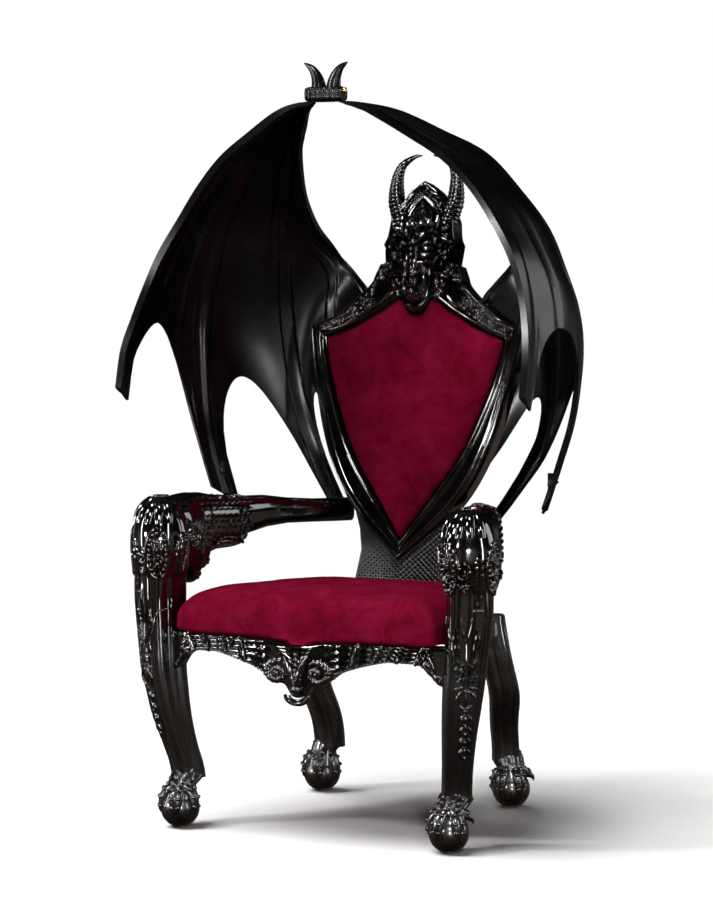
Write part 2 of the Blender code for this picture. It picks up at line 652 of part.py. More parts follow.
def rosette_places():
    """x and rise of the rosettes on the +X shoulder, midway between the outline and the pocket."""
    outer, inner = matched_outlines()
    corner = len(SHIELD_SIDE) - 1
    places = []
    for index, blend in ((corner + 1, 0.50), (corner + 2, 0.52), (corner + 3, 0.42)):
        places.append(outer[index] * (1 - blend) + inner[index] * blend)
    return places


def rosette_rings(place, side):
    angles = np.linspace(0, 2 * math.pi, 8, endpoint=False)
    petals = 1 + 0.12 * np.cos(4 * angles)
    rings = []
    for radius, rise in ((1.0, -0.006), (1.0, 0.3), (0.55, 1.0)):
        x = place[0] + ROSETTE_RADIUS * radius * petals * np.cos(angles)
        up = place[1] + ROSETTE_RADIUS * radius * petals * np.sin(angles)
        forward = rise * ROSETTE_RISE if rise > 0 else rise
        rings.append(flipped(back_point(x, up, np.full(8, forward)), side))
    return rings


def add_back(material, collection, cutters):
    verts, faces = ring_solid(frame_rings())
    frame = add_object("back_frame", verts, faces, material, collection)
    parts = [("dragon_head", dragon_head_rings())]
    for label, side in (("right", 1), ("left", -1)):
        parts.append((f"horn_{label}", horn_rings(side)))
        parts += [(f"rosette_{label}_{n}", rosette_rings(place, side))
                  for n, place in enumerate(rosette_places(), 1)]
    for name, rings in parts:
        verts, faces = ring_solid(rings)
        combine(frame, add_object(name, verts, faces, material, cutters), "UNION")


def add_pad(material, collection):
    """The crowned velvet pad in the shield's pocket."""
    _, inner = matched_outlines()
    edge = shrink(inner, PAD_EDGE_GAP)
    centre = np.array((0, PAD_TIP_RISE + 0.62 * PAD_HEIGHT))
    floor = -POCKET_DEPTH + CLEARANCE
    rings = [back_point(edge[:, 0], edge[:, 1], forward) for forward in (floor, 0.0)]
    for share in (0.12, 0.45):
        ring = edge + (centre - edge) * share
        rise = PAD_CROWN * (1 - (1 - share) ** 3)
        rings.append(back_point(ring[:, 0], ring[:, 1], rise))
    verts, faces = ring_solid(rings)
    add_object("back_pad", verts, faces, material, collection)


def splat_half_width(row):
    """Half width of the splat at a share of its height: flared foot, waist, and wider under the shield."""
    return np.interp(row, (0, 0.35, 0.6, 0.8, 1),
                     (SPLAT_FOOT_HALF, SPLAT_FOOT_HALF - 0.008, SPLAT_WAIST_HALF, SPLAT_WAIST_HALF + 0.008,
                      SPLAT_TOP_HALF))


def splat_grids():
    """Front and back of the scaled splat, from the rear rail up to the shield's lower edge."""
    side, _ = shield_half()
    corners = np.concatenate([side[:, 0][side[:, 0] < SPLAT_TOP_HALF], [SPLAT_TOP_HALF]]) / SPLAT_TOP_HALF
    spans = [np.linspace(a, b, SCALES_PER_SPAN + 1)[:-1] for a, b in zip(corners, corners[1:])]
    half = np.concatenate(spans + [[1.0]])
    shares = np.concatenate([-half[:0:-1], half])
    rows = np.linspace(0, 1, SCALE_ROWS + 1)
    foot = (RAIL_TOP + CLEARANCE - BACK_FOOT_Z) / math.cos(RECLINE)
    foot += math.tan(RECLINE) * (SPLAT_SETBACK + SPLAT_THICKNESS)
    front = np.zeros((len(rows), len(shares), 3))
    back = np.zeros((len(rows), len(shares), 3))
    for j, share in enumerate(shares):
        top = np.interp(abs(share) * SPLAT_TOP_HALF, side[:, 0], side[:, 1]) - 3 * CLEARANCE
        for i, row in enumerate(rows):
            rise = foot + (top - foot) * row
            x = share * splat_half_width(row)
            inside = 0 < row < 1 and abs(share) < 1
            scale = SCALE_RELIEF * ((i + j) % 2) * inside
            front[i, j] = back_point(x, rise, -SPLAT_SETBACK + scale)
            back[i, j] = back_point(x, rise, -SPLAT_SETBACK - SPLAT_THICKNESS)
    for grid in (front, back):
        grid[0, :, 2] = RAIL_TOP + CLEARANCE
    return front, back[[0, -1]]


def cushion_outline():
    """Outline of the cushion between the front legs, back to the splat: x and y, and edge heights."""
    front_half = LEG_SPREAD - LEG_TOP_HALF - CUSHION_LEG_GAP
    rear_y = BACK_FOOT_Y - CUSHION_REAR_GAP - 0.012
    rear_half = REAR_SPREAD - REAR_TOP_HALF + 0.012
    shares = np.linspace(-1, 1, 13)
    front = np.stack([shares * front_half, CUSHION_FRONT_Y + CUSHION_BOW * shares ** 2], axis=1)
    leg_rear = LEG_LINE_Y + LEG_TOP_HALF
    sides = np.array([(front_half, LEG_LINE_Y), (front_half, leg_rear),
                      (0.5 * (front_half + rear_half) + 0.004, 0.5 * (leg_rear + rear_y)),
                      (rear_half, rear_y - 0.02)])
    rear = np.stack([np.linspace(rear_half - 0.02, -rear_half + 0.02, 7), np.full(7, rear_y)], axis=1)
    other = (sides * (-1, 1))[::-1]
    return np.vstack([front, sides, rear, other])


def add_cushion(material, collection):
    outline = cushion_outline()
    centre = np.array((0, 0.35 * CUSHION_FRONT_Y))
    low = RAIL_TOP + CLEARANCE
    rings = []
    for share, height in ((0.025, 0), (0, 0.07), (0.006, 0.22), (0.035, 0.47), (0.09, 0.69),
                          (0.19, 0.87), (0.48, 1)):
        ring = outline + (centre - outline) * share
        rings.append(np.column_stack([ring, np.full(len(ring), low + height * CUSHION_HEIGHT)]))
    verts, faces = ring_solid(rings)
    add_object("seat_cushion", verts, faces, material, collection)


def behind_shield(x, height):
    """A point at a height on the middle surface of the wing where it lies on the shield's rear."""
    back = SHIELD_THICKNESS + ROOT_STANDOFF
    rise = (height - BACK_FOOT_Z + math.sin(RECLINE) * back) / math.cos(RECLINE)
    return tuple(back_point(x, rise, -back))


def wing_bones():
    """Evenly divided courses of the five lines of a wing, on the +X side."""
    courses = [FRONT_BONE, SECOND_BONE, THIRD_BONE,
               ROOT_BONE + tuple(behind_shield(x, z) for x, z in ROOT_BONE_DOWN),
               INNER_EDGE + tuple(behind_shield(x, z) for x, z in INNER_EDGE_DOWN)]
    return [smooth_course(course, 101) for course in courses]


def across_bones(points, place):
    """Smooth interpolation across the five lines at a place between 0 and 4."""
    index = min(int(place), 3)
    t = place - index
    before = points[index - 1] if index > 0 else 2 * points[0] - points[1]
    after = points[index + 2] if index < 3 else 2 * points[4] - points[3]
    b, c = points[index], points[index + 1]
    return 0.5 * (2 * b + (c - before) * t + (2 * before - 5 * b + 4 * c - after) * t ** 2
                  + (3 * b - before - 3 * c + after) * t ** 3)


def hem_share(place):
    """How far down the bones the web reaches at a place across the wing: it is scalloped between."""
    index = int(min(place, 3.999))
    if index > 2:
        return 1.0
    t = place - index
    margin = (0.12, 0.10, 0.14)[index]
    inside = np.clip((t - margin) / (1 - 2 * margin), 0, 1)
    lean = inside ** (1.0, 0.78, 0.62)[index]
    return 1 - SCALLOPS[index] * max(math.sin(math.pi * lean), 0) ** SCALLOP_SQUARENESS[index]


def web_point(bones, place, share):
    """A point on the middle surface of the wing, by its place across and its share of the way down."""
    points = [np.array([np.interp(share * 100, range(101), bone[:, k]) for k in range(3)])
              for bone in bones]
    point = across_bones(points, place)
    if place < 1:
        swell = WING_BULGE * math.sin(math.pi * place) * min(1, 1.6 * share)
        point = point + swell * np.array((1, 0, 0.15))
    return point


def web_normal(bones, place, share):
    """Direction square to the wing's middle surface, towards its outer side."""
    low, high = max(place - 0.35, 0), min(place + 0.35, 4)
    across = web_point(bones, high, share) - web_point(bones, low, share)
    nearest = round(place)
    down = web_point(bones, nearest, min(share + 0.02, 1)) - web_point(bones, nearest, max(share - 0.02, 0))
    normal = np.cross(across, down)
    return normal / np.linalg.norm(normal)


def wing_grids():
    """Outer and inner surface of the wing's shell, thicker along its bones, from wrist to hem."""
    bones = wing_bones()
    outer = np.zeros((WING_ROWS, len(WING_COLUMNS), 3))
    inner = outer.copy()
    for j, (place, bone) in enumerate(WING_COLUMNS):
        reach = hem_share(place)
        for i in range(WING_ROWS):
            share = reach * (i / (WING_ROWS - 1)) ** 0.9
            taper = 1 - BONE_TAPER * share ** 2
            swell = bone * min(1, share / BONE_SWELL_SHARE)
            half = (WEB_THICKNESS + (BONE_THICKNESS * taper - WEB_THICKNESS) * swell) / 2
            if place > 2.9:
                half = min(half, ROOT_STANDOFF - 3 * CLEARANCE)
            point = web_point(bones, place, share)
            offset = web_normal(bones, place, share) * half
            outer[i, j], inner[i, j] = point + offset, point - offset
    return outer, inner


def claw_rings():
    """The thumb claw on top of the wrist block, curving outwards to its point."""
    course = smooth_course(((0.0175, -0.010, 0), (0.0180, 0.012, 0), (0.026, 0.034, 0),
                            (0.040, 0.047, 0), (0.057, CLAW_HEIGHT, 0)), 8)
    angles = np.linspace(0, 2 * math.pi, 8, endpoint=False)
    rings = []
    for i, (x, rise, _) in enumerate(course):
        along = i / (len(course) - 1)
        radius = CLAW_RADIUS * (1 - along) ** 0.8 + 0.0005
        ahead = course[min(i + 1, 7)] - course[max(i - 1, 0)]
        direction = ahead[:2] / np.linalg.norm(ahead[:2])
        flat = np.array((x, BLOCK_TOP + rise)) + np.outer(radius * np.cos(angles),
                                                          (direction[1], -direction[0]))
        rings.append(np.column_stack([flat[:, 0], BLOCK_Y + radius * np.sin(angles), flat[:, 1]]))
    return rings


def barb_rings():
    """The arrow barb on the outer side of the second bone's tip."""
    base, point, upper = (np.array(p) for p in BARB)
    lower = base + (0, 0, -0.006)
    thick = np.array((0.0, BONE_THICKNESS / 2 - 0.001, 0.0))
    inner = base + (-0.004, 0, 0.05)
    return [np.array([lower + s * thick, point + s * thick * 0.6, inner + s * thick]) for s in (-1, 1)]


def add_wings(material, brass, collection, cutters):
    bolt_z = BLOCK_TOP - BOLT_BELOW_BLOCK_TOP
    bore = add_rod("bolt_bore", BOLT_RADIUS + CLEARANCE, 4 * BLOCK_LENGTH, (0, BLOCK_Y, bolt_z), None, cutters)
    for label, side in (("right", 1), ("left", -1)):
        outer, inner = wing_grids()
        verts, faces = plate_solid(flipped(outer, side), flipped(inner, side))
        wing = add_object(f"wing_{label}", verts, faces, material, collection)
        length = BLOCK_LENGTH - CLEARANCE / 2
        block = add_box(f"wrist_block_{label}", (length, BLOCK_DEPTH, BLOCK_HEIGHT),
                        (side * (CLEARANCE / 2 + length / 2), BLOCK_Y, BLOCK_TOP - BLOCK_HEIGHT / 2),
                        material, cutters, bevel=0.005)
        combine(wing, block, "UNION")
        for name, rings in (("claw", claw_rings()), ("barb", barb_rings())):
            verts, faces = ring_solid([flipped(ring, side) for ring in rings])
            combine(wing, add_object(f"{name}_{label}", verts, faces, material, cutters), "UNION")
        combine(wing, bore, "DIFFERENCE")
    shank = 2 * BLOCK_LENGTH + 2 * CLEARANCE + BOLT_HEAD_THICKNESS
    bolt = add_rod("wing_bolt", BOLT_RADIUS, shank, (0, BLOCK_Y, bolt_z), brass, collection)
    for label, side in (("head", 1), ("nut", -1)):
        x = side * (BLOCK_LENGTH + CLEARANCE + BOLT_HEAD_THICKNESS / 2)
        end = add_rod(f"bolt_{label}", BOLT_HEAD_RADIUS, BOLT_HEAD_THICKNESS, (x, BLOCK_Y, bolt_z), brass,
                      cutters, sides=6)
        combine(bolt, end, "UNION")


def add_arms(material, collection, cutters):
    verts, faces = ring_solid(shield_prism(CLEARANCE))
    space = add_object("shield_space", verts, faces, None, cutters)
    for label, side in (("right", 1), ("left", -1)):
        verts, faces = ring_solid(arm_rings(side))
        arm = add_object(f"arm_{label}", verts, faces, material, collection)
        combine(arm, space, "DIFFERENCE")


def centre_on_floor(collection):
    """Moves the whole model so that the middle of its footprint is at the origin."""
    bpy.context.view_layer.update()
    depsgraph = bpy.context.evaluated_depsgraph_get()
    reach = []
    for item in collection.objects:
        mesh = item.evaluated_get(depsgraph).to_mesh()
        reach += [(item.matrix_world @ v.co).y for v in mesh.vertices]
    shift = Vector((0, -(min(reach) + max(reach)) / 2, 0))
    for item in bpy.data.objects:
        item.location += shift


def main():
    clear_scene()
    throne = new_collection("throne")
    cutters = new_collection("cutters")
    lacquer = new_material("black_lacquer", (0.012, 0.011, 0.012), 0.22)
    velvet = new_material("crimson_velvet", (0.28, 0.008, 0.045), 0.85)
    brass = new_material("brass", (0.80, 0.58, 0.26), 0.3, 1.0)
    add_legs(lacquer, throne)
    add_seat_frame(lacquer, throne, cutters)
    add_arms(lacquer, throne, cutters)
    add_back(lacquer, throne, cutters)
    add_pad(velvet, throne)
    verts, faces = plate_solid(*splat_grids())
    add_object("back_splat", verts, faces, lacquer, throne)
    add_cushion(velvet, throne)
    add_wings(lacquer, brass, throne, cutters)
    centre_on_floor(throne)


if __name__ == "__main__":
    main()
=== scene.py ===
"""Looks of a carved throne under two dragon wings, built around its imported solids.

The lengths are in metres, +Z is up and the sitter faces -Y. Each sub-assembly of the throne is a class that
holds its sizes, builds its meshes and dresses them. Ornament is drawn on a form as a carver sees it, from one
side, and then laid on the form's surface.
"""
import logging
import math
from collections.abc import Sequence
from dataclasses import dataclass
from enum import Enum

import bmesh
import bpy
import numpy as np
from mathutils import Matrix, Vector, noise
from mathutils.bvhtree import BVHTree


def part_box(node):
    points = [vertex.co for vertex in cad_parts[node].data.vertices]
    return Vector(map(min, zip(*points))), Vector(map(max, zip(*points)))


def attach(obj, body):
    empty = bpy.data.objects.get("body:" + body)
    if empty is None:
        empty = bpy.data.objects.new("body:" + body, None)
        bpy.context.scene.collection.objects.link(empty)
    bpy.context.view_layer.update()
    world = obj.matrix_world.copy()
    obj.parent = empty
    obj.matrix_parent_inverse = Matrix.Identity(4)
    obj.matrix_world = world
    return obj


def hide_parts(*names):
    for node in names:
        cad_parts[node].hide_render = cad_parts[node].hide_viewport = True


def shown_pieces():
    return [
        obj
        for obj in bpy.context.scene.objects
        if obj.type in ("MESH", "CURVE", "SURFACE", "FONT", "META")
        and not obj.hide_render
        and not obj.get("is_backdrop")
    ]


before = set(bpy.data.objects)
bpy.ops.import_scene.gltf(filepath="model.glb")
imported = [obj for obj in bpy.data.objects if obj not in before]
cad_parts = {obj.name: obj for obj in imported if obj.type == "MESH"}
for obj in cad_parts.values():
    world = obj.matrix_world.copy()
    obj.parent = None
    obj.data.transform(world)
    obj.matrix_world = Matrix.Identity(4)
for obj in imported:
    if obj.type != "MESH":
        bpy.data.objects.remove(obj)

LOG = logging.getLogger("throne")
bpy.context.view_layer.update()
BODY = "root"
REAR_LINE_Y = 0.203
SHIFT_Y = sum(corner.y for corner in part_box("rear_rail")) / 2 - REAR_LINE_Y
MM = 0.001
SETTLE_FRAMES = 20
Array = np.ndarray
Point = Sequence[float]


class Side(Enum):
    """The half of the throne that a mirrored piece belongs to, as seen from the front."""

    RIGHT = 1
    LEFT = -1

    @property
    def label(self) -> str:
        """The word for this side in a piece's name."""
        return self.name.lower()


def linear(colour: str) -> tuple[float, float, float, float]:
    """Turns an sRGB hex colour to linear light.

    Args:
        colour: Six hex digits after a hash sign.

    Returns:
        Red, green, blue and a full alpha.
    """
    values = [int(colour[i:i + 2], 16) / 255 for i in (1, 3, 5)]
    light = [v / 12.92 if v <= 0.04045 else ((v + 0.055) / 1.055) ** 2.4 for v in values]
    return (*light, 1.0)


def add_node(tree: bpy.types.NodeTree, kind: str, settings: dict | None = None,
             links: dict | None = None) -> bpy.types.Node:
    """Adds a node with its settings and links.

    Args:
        tree: The node tree that gets the node.
        kind: Blender's name of the node's type.
        settings: Values by the name of an input or, failing that, of a property.
        links: Output sockets by the name or number of the input that they feed.

    Returns:
        The new node.
    """
    node = tree.nodes.new(kind)
    for name, value in (settings or {}).items():
        if isinstance(name, int) or name in node.inputs:
            node.inputs[name].default_value = value
        else:
            setattr(node, name, value)
    for name, source in (links or {}).items():
        tree.links.new(source, node.inputs[name])
    return node


def new_tree(name: str) -> tuple[bpy.types.Material, bpy.types.NodeTree, bpy.types.NodeSocket]:
    """Starts a material with nothing in it but a node of texture coordinates.

    Args:
        name: The material's name.

    Returns:
        The material, its tree, and the object's own coordinates in metres.
    """
    material = bpy.data.materials.new(name)
    material.use_nodes = True
    tree = material.node_tree
    tree.nodes.clear()
    place = add_node(tree, "ShaderNodeTexCoord")
    return material, tree, place.outputs["Object"]


def close_tree(tree: bpy.types.NodeTree, settings: dict, links: dict) -> None:
    """Adds the surface with its settings and links, and feeds it to the material's output."""
    shader = add_node(tree, "ShaderNodeBsdfPrincipled", settings, links)
    add_node(tree, "ShaderNodeOutputMaterial", links={"Surface": shader.outputs["BSDF"]})


def cloudy(tree: bpy.types.NodeTree, place: bpy.types.NodeSocket, size_mm: float, detail: float = 2.0,
           **more: float) -> bpy.types.NodeSocket:
    """Adds soft noise with patches of about the given size, and returns its level."""
    settings = {"Scale": 1 / (size_mm * MM), "Detail": detail, **more}
    return add_node(tree, "ShaderNodeTexNoise", settings, {"Vector": place}).outputs["Fac"]


def mixed(tree: bpy.types.NodeTree, share: float, first: bpy.types.NodeSocket,
          second: bpy.types.NodeSocket) -> bpy.types.NodeSocket:
    """Adds a mix of two levels, with the share of the second one, and returns it."""
    return add_node(tree, "ShaderNodeMix", {"Factor": share}, {2: first, 3: second}).outputs[0]


def embossed(tree: bpy.types.NodeTree, strength: float, depth: float,
             height: bpy.types.NodeSocket) -> bpy.types.NodeSocket:
    """Adds a bump of the given depth in metres, and returns its normal."""
    bump = add_node(tree, "ShaderNodeBump", {"Strength": strength, "Distance": depth}, {"Height": height})
    return bump.outputs["Normal"]


def toned(tree: bpy.types.NodeTree, level: bpy.types.NodeSocket,
          *stops: tuple[float, str]) -> bpy.types.NodeSocket:
    """Adds a ramp that gives a level its colour.

    Args:
        tree: The node tree that gets the ramp.
        level: The level from 0 to 1.
        stops: Place from 0 to 1 and sRGB hex colour of each stop, in order.

    Returns:
        The ramp's colour.
    """
    ramp = add_node(tree, "ShaderNodeValToRGB", links={"Fac": level})
    elements = ramp.color_ramp.elements
    while len(elements) < len(stops):
        elements.new(0.5)
    for element, (place, colour) in zip(elements, stops):
        element.position = place
        element.color = linear(colour)
    return ramp.outputs["Color"]


@dataclass(frozen=True)
class Lacquer:
    """Carved mahogany under sprayed and polished black lacquer: deep, wet gloss with a warm cast."""

    name: str = "black_lacquered_mahogany"
    deep: str = "#030303"
    warm: str = "#0B0706"
    roughness: tuple[float, float] = (0.05, 0.11)
    cloud_mm: float = 60
    orange_peel_mm: float = 7
    grain_mm: float = 1.6
    peel_depth: float = 0.00009
    coat: float = 0.6
    index: float = 1.75
    rubbed: float = 0.0

    def material(self) -> bpy.types.Material:
        """Makes the finish: colour clouds, uneven polish, and the slight peel of sprayed lacquer."""
        material, tree, place = new_tree(self.name)
        clouds = cloudy(tree, place, self.cloud_mm, 4.0)
        colour = toned(tree, clouds, (0.35, self.deep), (0.75, self.warm))
        smooth, rough = self.roughness
        polish = add_node(tree, "ShaderNodeMapRange", {
            "From Min": 0.3, "From Max": 0.7, "To Min": smooth, "To Max": rough}, {"Value": clouds})
        split = add_node(tree, "ShaderNodeSeparateXYZ", links={"Vector": place})
        worn = add_node(tree, "ShaderNodeMapRange", {
            "From Min": 0.52, "From Max": 0.34, "To Min": 0.0, "To Max": self.rubbed},
            {"Value": split.outputs["Z"]})
        dull = add_node(tree, "ShaderNodeMath", {"operation": "ADD"}, {
            0: polish.outputs["Result"], 1: worn.outputs["Result"]})
        stretch = add_node(tree, "ShaderNodeMapping", {"Scale": (1, 1, 0.08)}, {"Vector": place})
        grain = cloudy(tree, stretch.outputs["Vector"], self.grain_mm)
        peel = cloudy(tree, place, self.orange_peel_mm, 1.0)
        normal = embossed(tree, 0.35, self.peel_depth, mixed(tree, 0.22, peel, grain))
        close_tree(tree, {
            "IOR": self.index, "Coat Weight": self.coat, "Coat Roughness": 0.05, "Coat IOR": 1.6},
            {"Base Color": colour, "Roughness": dull.outputs[0], "Normal": normal})
        return material


@dataclass(frozen=True)
class Velvet:
    """Woven cotton velvet: crimson pile that is dark seen head on, pale where it leans and at its edges."""

    name: str = "crimson_cotton_velvet"
    shade: str = "#4A0312"
    pile: str = "#640A22"
    bruise: str = "#741230"
    sheen: str = "#A8304F"
    bruise_mm: float = 70
    tuft_mm: float = 2.2
    crush_mm: float = 12

    def material(self) -> bpy.types.Material:
        """Makes the finish: leaning patches of pile, fine tufts drawn coarse enough to show, and sheen."""
        material, tree, place = new_tree(self.name)
        lean = cloudy(tree, place, self.bruise_mm, 5.0, Roughness=0.62, Distortion=0.6)
        crush = cloudy(tree, place, self.crush_mm, 3.0)
        colour = toned(tree, mixed(tree, 0.22, lean, crush),
                       (0.28, self.shade), (0.50, self.pile), (0.74, self.bruise))
        tufts = cloudy(tree, place, self.tuft_mm)
        normal = embossed(tree, 0.5, 0.0012, mixed(tree, 0.4, crush, tufts))
        close_tree(tree, {
            "Roughness": 0.92, "IOR": 1.45, "Specular IOR Level": 0.0, "Sheen Weight": 0.12,
            "Sheen Roughness": 0.40, "Sheen Tint": linear(self.sheen)},
            {"Base Color": colour, "Normal": normal})
        return material


@dataclass(frozen=True)
class Brass:
    """Turned brass, polished: warm yellow with fine turning marks."""

    name: str = "polished_brass"
    bright: str = "#E3BE74"
    dull: str = "#9C7434"
    mark_mm: float = 1.5

    def material(self) -> bpy.types.Material:
        """Makes the finish: a metal with fine patches of tarnish, and marks of the lathe."""
        material, tree, place = new_tree(self.name)
        marks = cloudy(tree, place, self.mark_mm, 3.0)
        colour = toned(tree, marks, (0.3, self.dull), (0.6, self.bright))
        close_tree(tree, {"Metallic": 1.0, "Roughness": 0.24}, {
            "Base Color": colour, "Normal": embossed(tree, 0.2, 0.0001, marks)})
        return material


@dataclass(frozen=True)
class StudioPaint:
    """Matt emulsion on the studio floor: nearly white, with the faintest roller texture."""

    name: str = "pale_emulsion_floor"
    pale: str = "#F5F5F4"
    worn: str = "#F1F1F0"
    roller_mm: float = 900

    def material(self) -> bpy.types.Material:
        """Makes the finish of the floor."""
        material, tree, place = new_tree(self.name)
        roller = cloudy(tree, place, self.roller_mm)
        colour = toned(tree, roller, (0.3, self.worn), (0.7, self.pale))
        close_tree(tree, {"Roughness": 0.9, "Specular IOR Level": 0.1}, {"Base Color": colour})
        return material


class Finishes:
    """Every material of the throne and its stage, made once."""

    def __init__(self) -> None:
        """Makes the materials."""
        self.carved = Lacquer().material()
        self.moulded = Lacquer(name="black_gelcoat_wing", deep="#030304", warm="#080706", cloud_mm=120,
                               roughness=(0.20, 0.30), orange_peel_mm=18, grain_mm=5,
                               peel_depth=0.00012, coat=0.0, index=1.40).material()
        self.rubbed = Lacquer(name="rubbed_black_lacquer", rubbed=0.20).material()
        self.scaled = Lacquer(name="brushed_black_lacquer", roughness=(0.16, 0.24), coat=0.0,
                              index=1.42).material()
        self.plain = Lacquer(name="satin_black_lacquer", roughness=(0.26, 0.40)).material()
        self.velvet = Velvet().material()
        self.brass = Brass().material()
        self.floor = StudioPaint().material()


def full_turn(count: int) -> Array:
    """Evenly spaced angles once round, without the last that is the first again."""
    return np.linspace(0, 2 * math.pi, count, endpoint=False)


def arc_lengths(line: Array) -> Array:
    """Distance along a line of points to each of them."""
    return np.concatenate([[0], np.cumsum(np.linalg.norm(np.diff(line, axis=0), axis=1))])


def smooth_course(points: Sequence[Point], count: int) -> Array:
    """Evenly spaced points along a smooth curve through the given ones.

    Args:
        points: Points of two or three coordinates.
        count: How many points to return.

    Returns:
        An array of the points, one per row.
    """
    knots = np.asarray(points, float)
    ahead = np.vstack([2 * knots[0] - knots[1], knots, 2 * knots[-1] - knots[-2]])
    dense = []
    for i in range(1, len(ahead) - 2):
        a, b, c, d = ahead[i - 1:i + 3]
        for t in np.linspace(0, 1, 12, endpoint=False):
            dense.append(0.5 * (2 * b + (c - a) * t + (2 * a - 5 * b + 4 * c - d) * t ** 2
                                + (3 * b - a - 3 * c + d) * t ** 3))
    dense.append(knots[-1])
    line = np.array(dense)
    run = arc_lengths(line)
    places = np.linspace(0, run[-1], count)
    return np.stack([np.interp(places, run, line[:, k]) for k in range(line.shape[1])], axis=1)


def unit(vectors: Array) -> Array:
    """The vectors at length one, taken along the last axis."""
    return vectors / np.maximum(np.linalg.norm(vectors, axis=-1, keepdims=True), 1e-12)


def mirrored(hand: int, *points: Point) -> list[Point]:
    """Points drawn for the right half, with their first coordinate on the side that the hand names."""
    return [(hand * first, *rest) for first, *rest in points]


def level_rings(x: Array, y: Array, height: Array, angles: Array, out: Array) -> Array:
    """Level rings of points, by their centres and heights and their reach at each angle."""
    ring = np.stack([np.cos(angles), np.sin(angles)], axis=1)
    flat = np.stack([x, y], axis=1)[:, None] + out[..., None] * ring
    return np.concatenate([flat, np.broadcast_to(height[:, None, None], (*out.shape, 1))], axis=2)


def grid_faces(rows: int, columns: int) -> Array:
    """Quads of a grid of points whose last column joins the first, as four point numbers each.

    Args:
        rows: Rows of the grid.
        columns: Columns of the grid.

    Returns:
        Four point numbers per face.
    """
    i, j = np.meshgrid(np.arange(rows - 1), np.arange(columns), indexing="ij")
    after = (j + 1) % columns
    return np.stack([i * columns + j, i * columns + after, (i + 1) * columns + after, (i + 1) * columns + j],
                    axis=-1).reshape(-1, 4)


def fan_faces(start: int, size: int, centre: int) -> Array:
    """Triangles from a ring of points to its centre point."""
    i = np.arange(size)
    return np.stack([start + i, start + (i + 1) % size, np.full(size, centre)], axis=1)


def course_frames(course: Array, normals: Array | None) -> tuple[Array, Array]:
    """Side and upward directions along a course.

    Args:
        course: Points of the course.
        normals: Upward direction at each point, or None to carry one along without twist.

    Returns:
        The side directions and the upward directions.
    """
    along = unit(np.gradient(course, axis=0))
    if normals is None:
        seed = np.array((0.0, 0.0, 1.0)) if abs(along[0, 2]) < 0.9 else np.array((1.0, 0.0, 0.0))
        carried = []
        for direction in along:
            seed = unit(seed - direction * np.dot(seed, direction))
            carried.append(seed)
        ups = np.array(carried)
    else:
        ups = unit(normals - along * np.sum(normals * along, axis=1, keepdims=True))
    return np.cross(along, ups), ups


@dataclass(frozen=True)
class Sight:
    """A side from which ornament is drawn: u runs to the right, v upwards, and the look goes inwards."""

    origin: tuple[float, float, float]
    right: tuple[float, float, float]
    up: tuple[float, float, float] = (0.0, 0.0, 1.0)

    @classmethod
    def turned(cls, degrees: float, x: float = 0.0, y: float = 0.0) -> "Sight":
        """The level sight from an angle round the object, with u measured from a point."""
        angle = math.radians(degrees)
        return cls((x, y, 0.0), (math.cos(angle), math.sin(angle), 0.0))

    def spot(self, u: float, v: float) -> Array:
        """The point of the sight's own plane at u and v."""
        return np.array(self.origin) + u * np.array(self.right) + v * np.array(self.up)

    @property
    def inward(self) -> Array:
        """The direction of the look."""
        return np.cross(self.up, self.right)


def ball_mesh(columns: int, rows: int) -> tuple[Array, list[Array]]:
    """Points and faces of a ball of radius one."""
    polar = np.linspace(0, math.pi, rows + 1)[1:-1]
    round_angles = full_turn(columns)
    flat = np.outer(np.sin(polar), np.cos(round_angles)), np.outer(np.sin(polar), np.sin(round_angles))
    rings = np.stack([*flat, np.outer(np.cos(polar), np.ones(columns))], axis=-1).reshape(-1, 3)
    points = np.vstack([rings, (0, 0, 1), (0, 0, -1)])
    size = len(rings)
    return points, [grid_faces(rows - 1, columns), fan_faces(0, columns, size),
                    fan_faces(size - columns, columns, size + 1)]


BEAD = ball_mesh(10, 6)
BALL = ball_mesh(48, 28)


